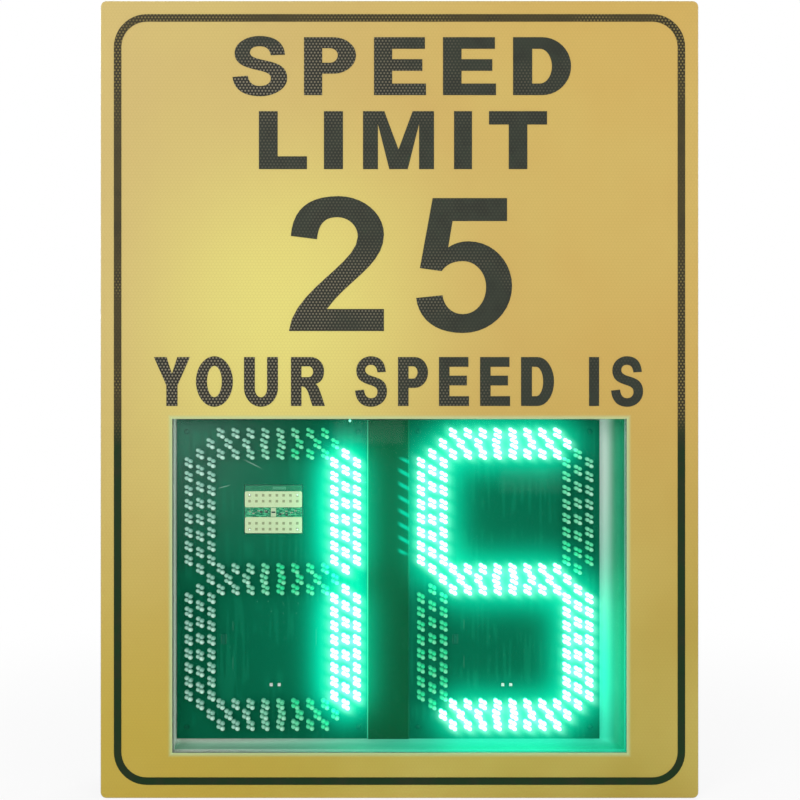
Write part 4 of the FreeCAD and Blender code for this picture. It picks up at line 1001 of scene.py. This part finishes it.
# The cover's screws are stainless button heads with a hexagon socket and a pressed washer face.
# They go through the rim of the cover into the rear wall.
BUTTON_RADIUS = 4.75
BUTTON_HEAD = [(0, 2.75), (1.2, 2.75), (2.4, 2.55), (3.6, 1.9), (4.3, 1), (4.5, 0.35)]
BUTTON_FACE = [(BUTTON_RADIUS, 0.3), (BUTTON_RADIUS, 0)]
BUTTON_SHANK = [(2.5, 0), (2.5, -14), (0, -14)]
BUTTON_SIDES = 20
COVER_SHEET = 2 * MM
COVER_LEVELS = 4
SOCKET_RADIUS = 1.6 * MM
SOCKET_DEPTH = 0.36 * MM
SOCKET_LEVEL = 2.6 * MM
SOCKET_TURN = 0.7


def rod(shape, sides, radius, length, **settings):
    """A rod with closed ends along Z, added to a shape."""
    ends = {"segments": sides, "radius1": radius, "radius2": radius, "depth": length}
    return bmesh.ops.create_cone(shape, cap_ends=True, **ends, **settings)["verts"]


stainless = worked("stainless steel", (172, 172, 170), (205, 205, 202), 600, 0.28, 0.95, 0.01, (1, 5, 1))
low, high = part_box("cover_screws")
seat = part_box("rear_cover")[0].y + COVER_SHEET
radius = BUTTON_RADIUS * MM
left, right = low.x + radius, high.x - radius
step = (high.z - low.z - 2 * radius) / (COVER_LEVELS - 1)
levels = [low.z + radius + i * step for i in range(COVER_LEVELS)]
cover_places = [(x, z) for x in (left, right) for z in levels] + [(0, levels[0]), (0, levels[-1])]
button = turned(BUTTON_HEAD + BUTTON_FACE + BUTTON_SHANK, BUTTON_SIDES)
placements = [Matrix.Translation((x, seat, z)) for x, z in cover_places]
heads = set_out("dressed_cover_screws", button, placements, stainless, "plated_steel")
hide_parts("cover_screws")
sockets = bmesh.new()
for number, (x, z) in enumerate(cover_places):
    turn = Matrix.Translation((x, seat + SOCKET_LEVEL, z)) @ Matrix.Rotation(SOCKET_TURN * number, 4, "Y")
    rod(sockets, 6, SOCKET_RADIUS, SOCKET_DEPTH, matrix=turn @ Matrix.Rotation(math.pi / 2, 4, "X"))
show("cover_screw_sockets", sockets, black_rubber, "dark_screw")


# The two brackets are hat sections folded from 3 mm galvanised sheet, slotted for pole clamps.
# The zinc shows its spangle, pale crystals that each catch the light in their own way.
spangle, shader, spot = new_finish("galvanised steel", 0.4, 0.85)
crystals = add(spot, "TexVoronoi", {"Vector": spot, "Scale": 110}).outputs["Color"]
grey = add(spot, "RGBToBW", {0: crystals}).outputs[0]
zinc = blend(grey, (146, 150, 153), (196, 199, 200))
bloom = spread(clouds(spot, 12), 0.5, 0.75, 0, 0.4)
feed(shader, "Base Color", blend(bloom, zinc, (204, 205, 203)))
feed(shader, "Roughness", spread(grey, 0.2, 0.8, 0.3, 0.55))
relief(shader, clouds(spot, 300), 0.02, 0.4)
clothe(["bracket_lower", "bracket_upper"], spangle)


# Eight hexagon bolts hold the brackets, each with its washer, through the rear wall.
# The heads are forged with a chamfered crown and plated.
BOLT_FLATS = 10 * MM
BOLT_CROWN = 4 * MM
CROWN_BEVEL = 0.7 * MM
STEM_RADIUS = 3 * MM
STEM_LENGTH = 11.5 * MM
STEM_SIDES = 16
WASHER_PROFILE = [(3.2, 0), (6.2, 0), (6.2, 0.8), (3.2, 0.8)]
WASHER_SIDES = 24
BRACKET_SHEET = 3 * MM
FOOT_REACH = 200 * MM
FOOT_SPREAD = 34 * MM
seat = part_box("bracket_lower")[0].y + BRACKET_SHEET
bolt_places = []
for bracket in ("bracket_lower", "bracket_upper"):
    level = centre_of(bracket).z
    for x in (-FOOT_REACH, FOOT_REACH):
        for z in (level - FOOT_SPREAD, level + FOOT_SPREAD):
            bolt_places.append(Matrix.Translation((x, seat, z)))
head = bmesh.new()
rod(head, 6, BOLT_FLATS / math.sqrt(3), BOLT_CROWN)
crown = [e for e in head.edges if all(v.co.z > 0 for v in e.verts)]
bmesh.ops.bevel(head, geom=crown, offset=CROWN_BEVEL, affect="EDGES", segments=2, profile=0.5, material=-1)
stem = rod(head, STEM_SIDES, STEM_RADIUS, STEM_LENGTH)
bmesh.ops.translate(head, vec=(0, 0, -(BOLT_CROWN + STEM_LENGTH) / 2), verts=stem)
bmesh.ops.rotate(head, cent=(0, 0, 0), matrix=Matrix.Rotation(-math.pi / 2, 3, "X"), verts=head.verts)
bmesh.ops.translate(head, vec=(0, BOLT_CROWN / 2, 0), verts=head.verts)
bolt = cast("bolt", head)
hand = random.Random(5)
bolt_turns = [place @ Matrix.Rotation(hand.uniform(0, 1), 4, "Y") for place in bolt_places]
bolts = set_out("dressed_bracket_bolts", bolt, bolt_turns, zinc_plate, "plated_steel")
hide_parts("bracket_bolts")
washer = turned(WASHER_PROFILE + WASHER_PROFILE[:1], WASHER_SIDES)
set_out("bracket_washers", washer, bolt_places, zinc_plate, "plated_steel")


# The cable gland is black nylon: a threaded body with a hexagon collar, a ribbed cap that squeezes
# the seal, and a lock nut inside the wall. No cable is fitted.
CAP_OUTSIDE = [(6, 17), (7.6, 17), (9, 16.2), (10.9, 13.4), (10.9, 0.4), (10.5, 0)]
CAP_INSIDE = [(10, 0), (10, 10), (6, 10), (6, 17)]
CAP_SIDES = 36
CAP_WALL = 10.5 * MM
RIB_HEIGHT = 0.55 * MM
black_nylon = worked("black nylon", (22, 23, 24), (38, 39, 40), 800, 0.48, 0, 0.02)
clothe(["gland_body", "gland_lock_nut"], black_nylon)
ribbed = bmesh.new()
ribbed.from_mesh(turned(CAP_OUTSIDE + CAP_INSIDE, CAP_SIDES))
sides = []
for face in ribbed.faces:
    spot = face.calc_center_median()
    if abs(face.normal.y) < 0.1 and math.hypot(spot.x, spot.z) > CAP_WALL:
        sides.append((math.atan2(spot.z, spot.x), face))
sides.sort(key=lambda side: side[0])
grown = bmesh.ops.extrude_discrete_faces(ribbed, faces=[face for turn, face in sides[::2]])["faces"]
for face in grown:
    bmesh.ops.translate(ribbed, vec=face.normal * RIB_HEIGHT, verts=face.verts)
middle = centre_of("gland_cap")
bmesh.ops.translate(ribbed, vec=(middle.x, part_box("gland_cap")[0].y, middle.z), verts=ribbed.verts)
bmesh.ops.recalc_face_normals(ribbed, faces=ribbed.faces)
cap = show("dressed_gland_cap", ribbed, black_nylon, "gland_plastic")
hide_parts("gland_cap")


# Inside, an equipment plate carries the power supply and the controller above the window.
# They are closed in by the cabinet: plain plated sheet, a punched steel case and moulded terminals.
plain_steel = worked("plated sheet", (156, 158, 160), (182, 184, 184), 400, 0.36, 0.9, 0.02, (1, 1, 8))
green_terminal = worked("terminal plastic", (34, 92, 62), (52, 116, 82), 700, 0.45, 0, 0.02)
clothe(["equipment_plate", "power_supply"], plain_steel)
clothe(["supply_terminals", "controller_terminals"], green_terminal)
clothe(["processor"], chip_resin)


# The sign stands on a plain white studio floor that runs back into a white surround.
# The floor keeps the sign's shadow and turns into even white further off.
FLOOR_HALF = 6


def seen(tree):
    """1 for a ray that shows the studio itself, seen straight, mirrored or through the pane."""
    rays = add(tree, "LightPath", {}).outputs
    mirrored = calc("MAXIMUM", rays["Is Camera Ray"], rays["Is Glossy Ray"])
    return calc("MAXIMUM", mirrored, rays["Is Transmission Ray"])


ground = bmesh.new()
bmesh.ops.create_grid(ground, x_segments=8, y_segments=8, size=FLOOR_HALF)
floor = put("studio_floor", cast("studio_floor", ground))
studio_white = bpy.data.materials.new("studio white")
studio_white.use_nodes = True
tree = studio_white.node_tree
tree.nodes.clear()
shadow_share = spread(reach_of(object_spot(tree)), 0.35, 1.1, 0.14, 0)
cloth = add(tree, "BsdfDiffuse", {"Color": paint(238, 238, 238)}).outputs[0]
glow = add(tree, "Emission", {"Color": (1, 1, 1, 1), "Strength": 1}).outputs[0]
near = add(tree, "MixShader", {0: shadow_share, 1: glow, 2: cloth}).outputs[0]
ground_shader = add(tree, "MixShader", {0: seen(tree), 1: cloth, 2: near}).outputs[0]
add(tree, "OutputMaterial", {"Surface": ground_shader})
floor.data.materials.append(studio_white)


# Soft boxes stand left and right in front of the sign and one behind it, in a pale room.
# A small one close to the camera gives the film its broad soft gleam.
ROOM_LIGHT = 0.5
SEGMENT_POWER = 0.04
PANE_POWER = 0.14
LIGHT_GAP = 1 * MM
SIGN_MIDDLE = Vector((0, 0, 0.4))
world = bpy.data.worlds.new("studio")
bpy.context.scene.world = world
world.use_nodes = True
tree = world.node_tree
tree.nodes.clear()
room = add(tree, "Background", {"Color": (1, 1, 1, 1), "Strength": ROOM_LIGHT}).outputs[0]
white = add(tree, "Background", {"Color": (1, 1, 1, 1), "Strength": 1}).outputs[0]
surround = add(tree, "MixShader", {0: seen(tree), 1: room, 2: white}).outputs[0]
add(tree, "OutputWorld", {"Surface": surround})


def soft_box(name, place, width, power):
    """A square soft light turned to the middle of the sign."""
    lamp_data = bpy.data.lights.new(name, "AREA")
    lamp_data.size = width
    lamp_data.energy = power
    light = put(name, lamp_data)
    light.location = place
    light.rotation_euler = (SIGN_MIDDLE - Vector(place)).to_track_quat("-Z", "Y").to_euler()


def inner_light(name, node, power, colour):
    """A light just inside the pane, as wide and high as a solid, that shines on the boards."""
    low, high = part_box(node)
    middle = centre_of(node)
    spill = bpy.data.lights.new(name, "AREA")
    spill.shape = "RECTANGLE"
    spill.size, spill.size_y = high.x - low.x, high.z - low.z
    spill.energy = power
    spill.color = colour
    light = put(name, spill)
    light.location = (middle.x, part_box("window_pane")[1].y + LIGHT_GAP, middle.z)
    light.rotation_euler = (math.pi / 2, 0, 0)


for side, segment in lit_segments:
    power = SEGMENT_POWER * GLOW[side]
    inner_light(f"{side} {segment} spill", f"lamps_{side}_{segment}", power, SPILL_GREEN)
inner_light("pane spill", "window_pane", PANE_POWER, (1, 1, 1))
soft_box("left soft box", (-1.5, -2.4, 1.7), 1.4, 30)
soft_box("right soft box", (1.7, -2.3, 1.2), 1.4, 16)
soft_box("rear soft box", (0.8, 2.6, 1.8), 1.6, 34)
soft_box("front soft box", (-0.28, -1.95, 0.62), 0.5, 2.5)


# The camera looks straight at the face from about a metre and a quarter away.
# Its view is as wide as the sign is high.
FACE_DISTANCE = 1.25
FACE_VIEW = 0.8023
CAMERA_PLACE = (0.0005, 0.3995)
SENSOR = 36
camera_data = bpy.data.cameras.new("camera")
camera_data.sensor_width = SENSOR
camera_data.lens = SENSOR * FACE_DISTANCE / FACE_VIEW
camera = put("camera", camera_data)
camera.location = (CAMERA_PLACE[0], cad_box[0][1] - FACE_DISTANCE, CAMERA_PLACE[1])
camera.rotation_euler = (math.pi / 2, 0, 0)
bpy.context.scene.camera = camera
bpy.context.scene.view_settings.view_transform = "Standard"
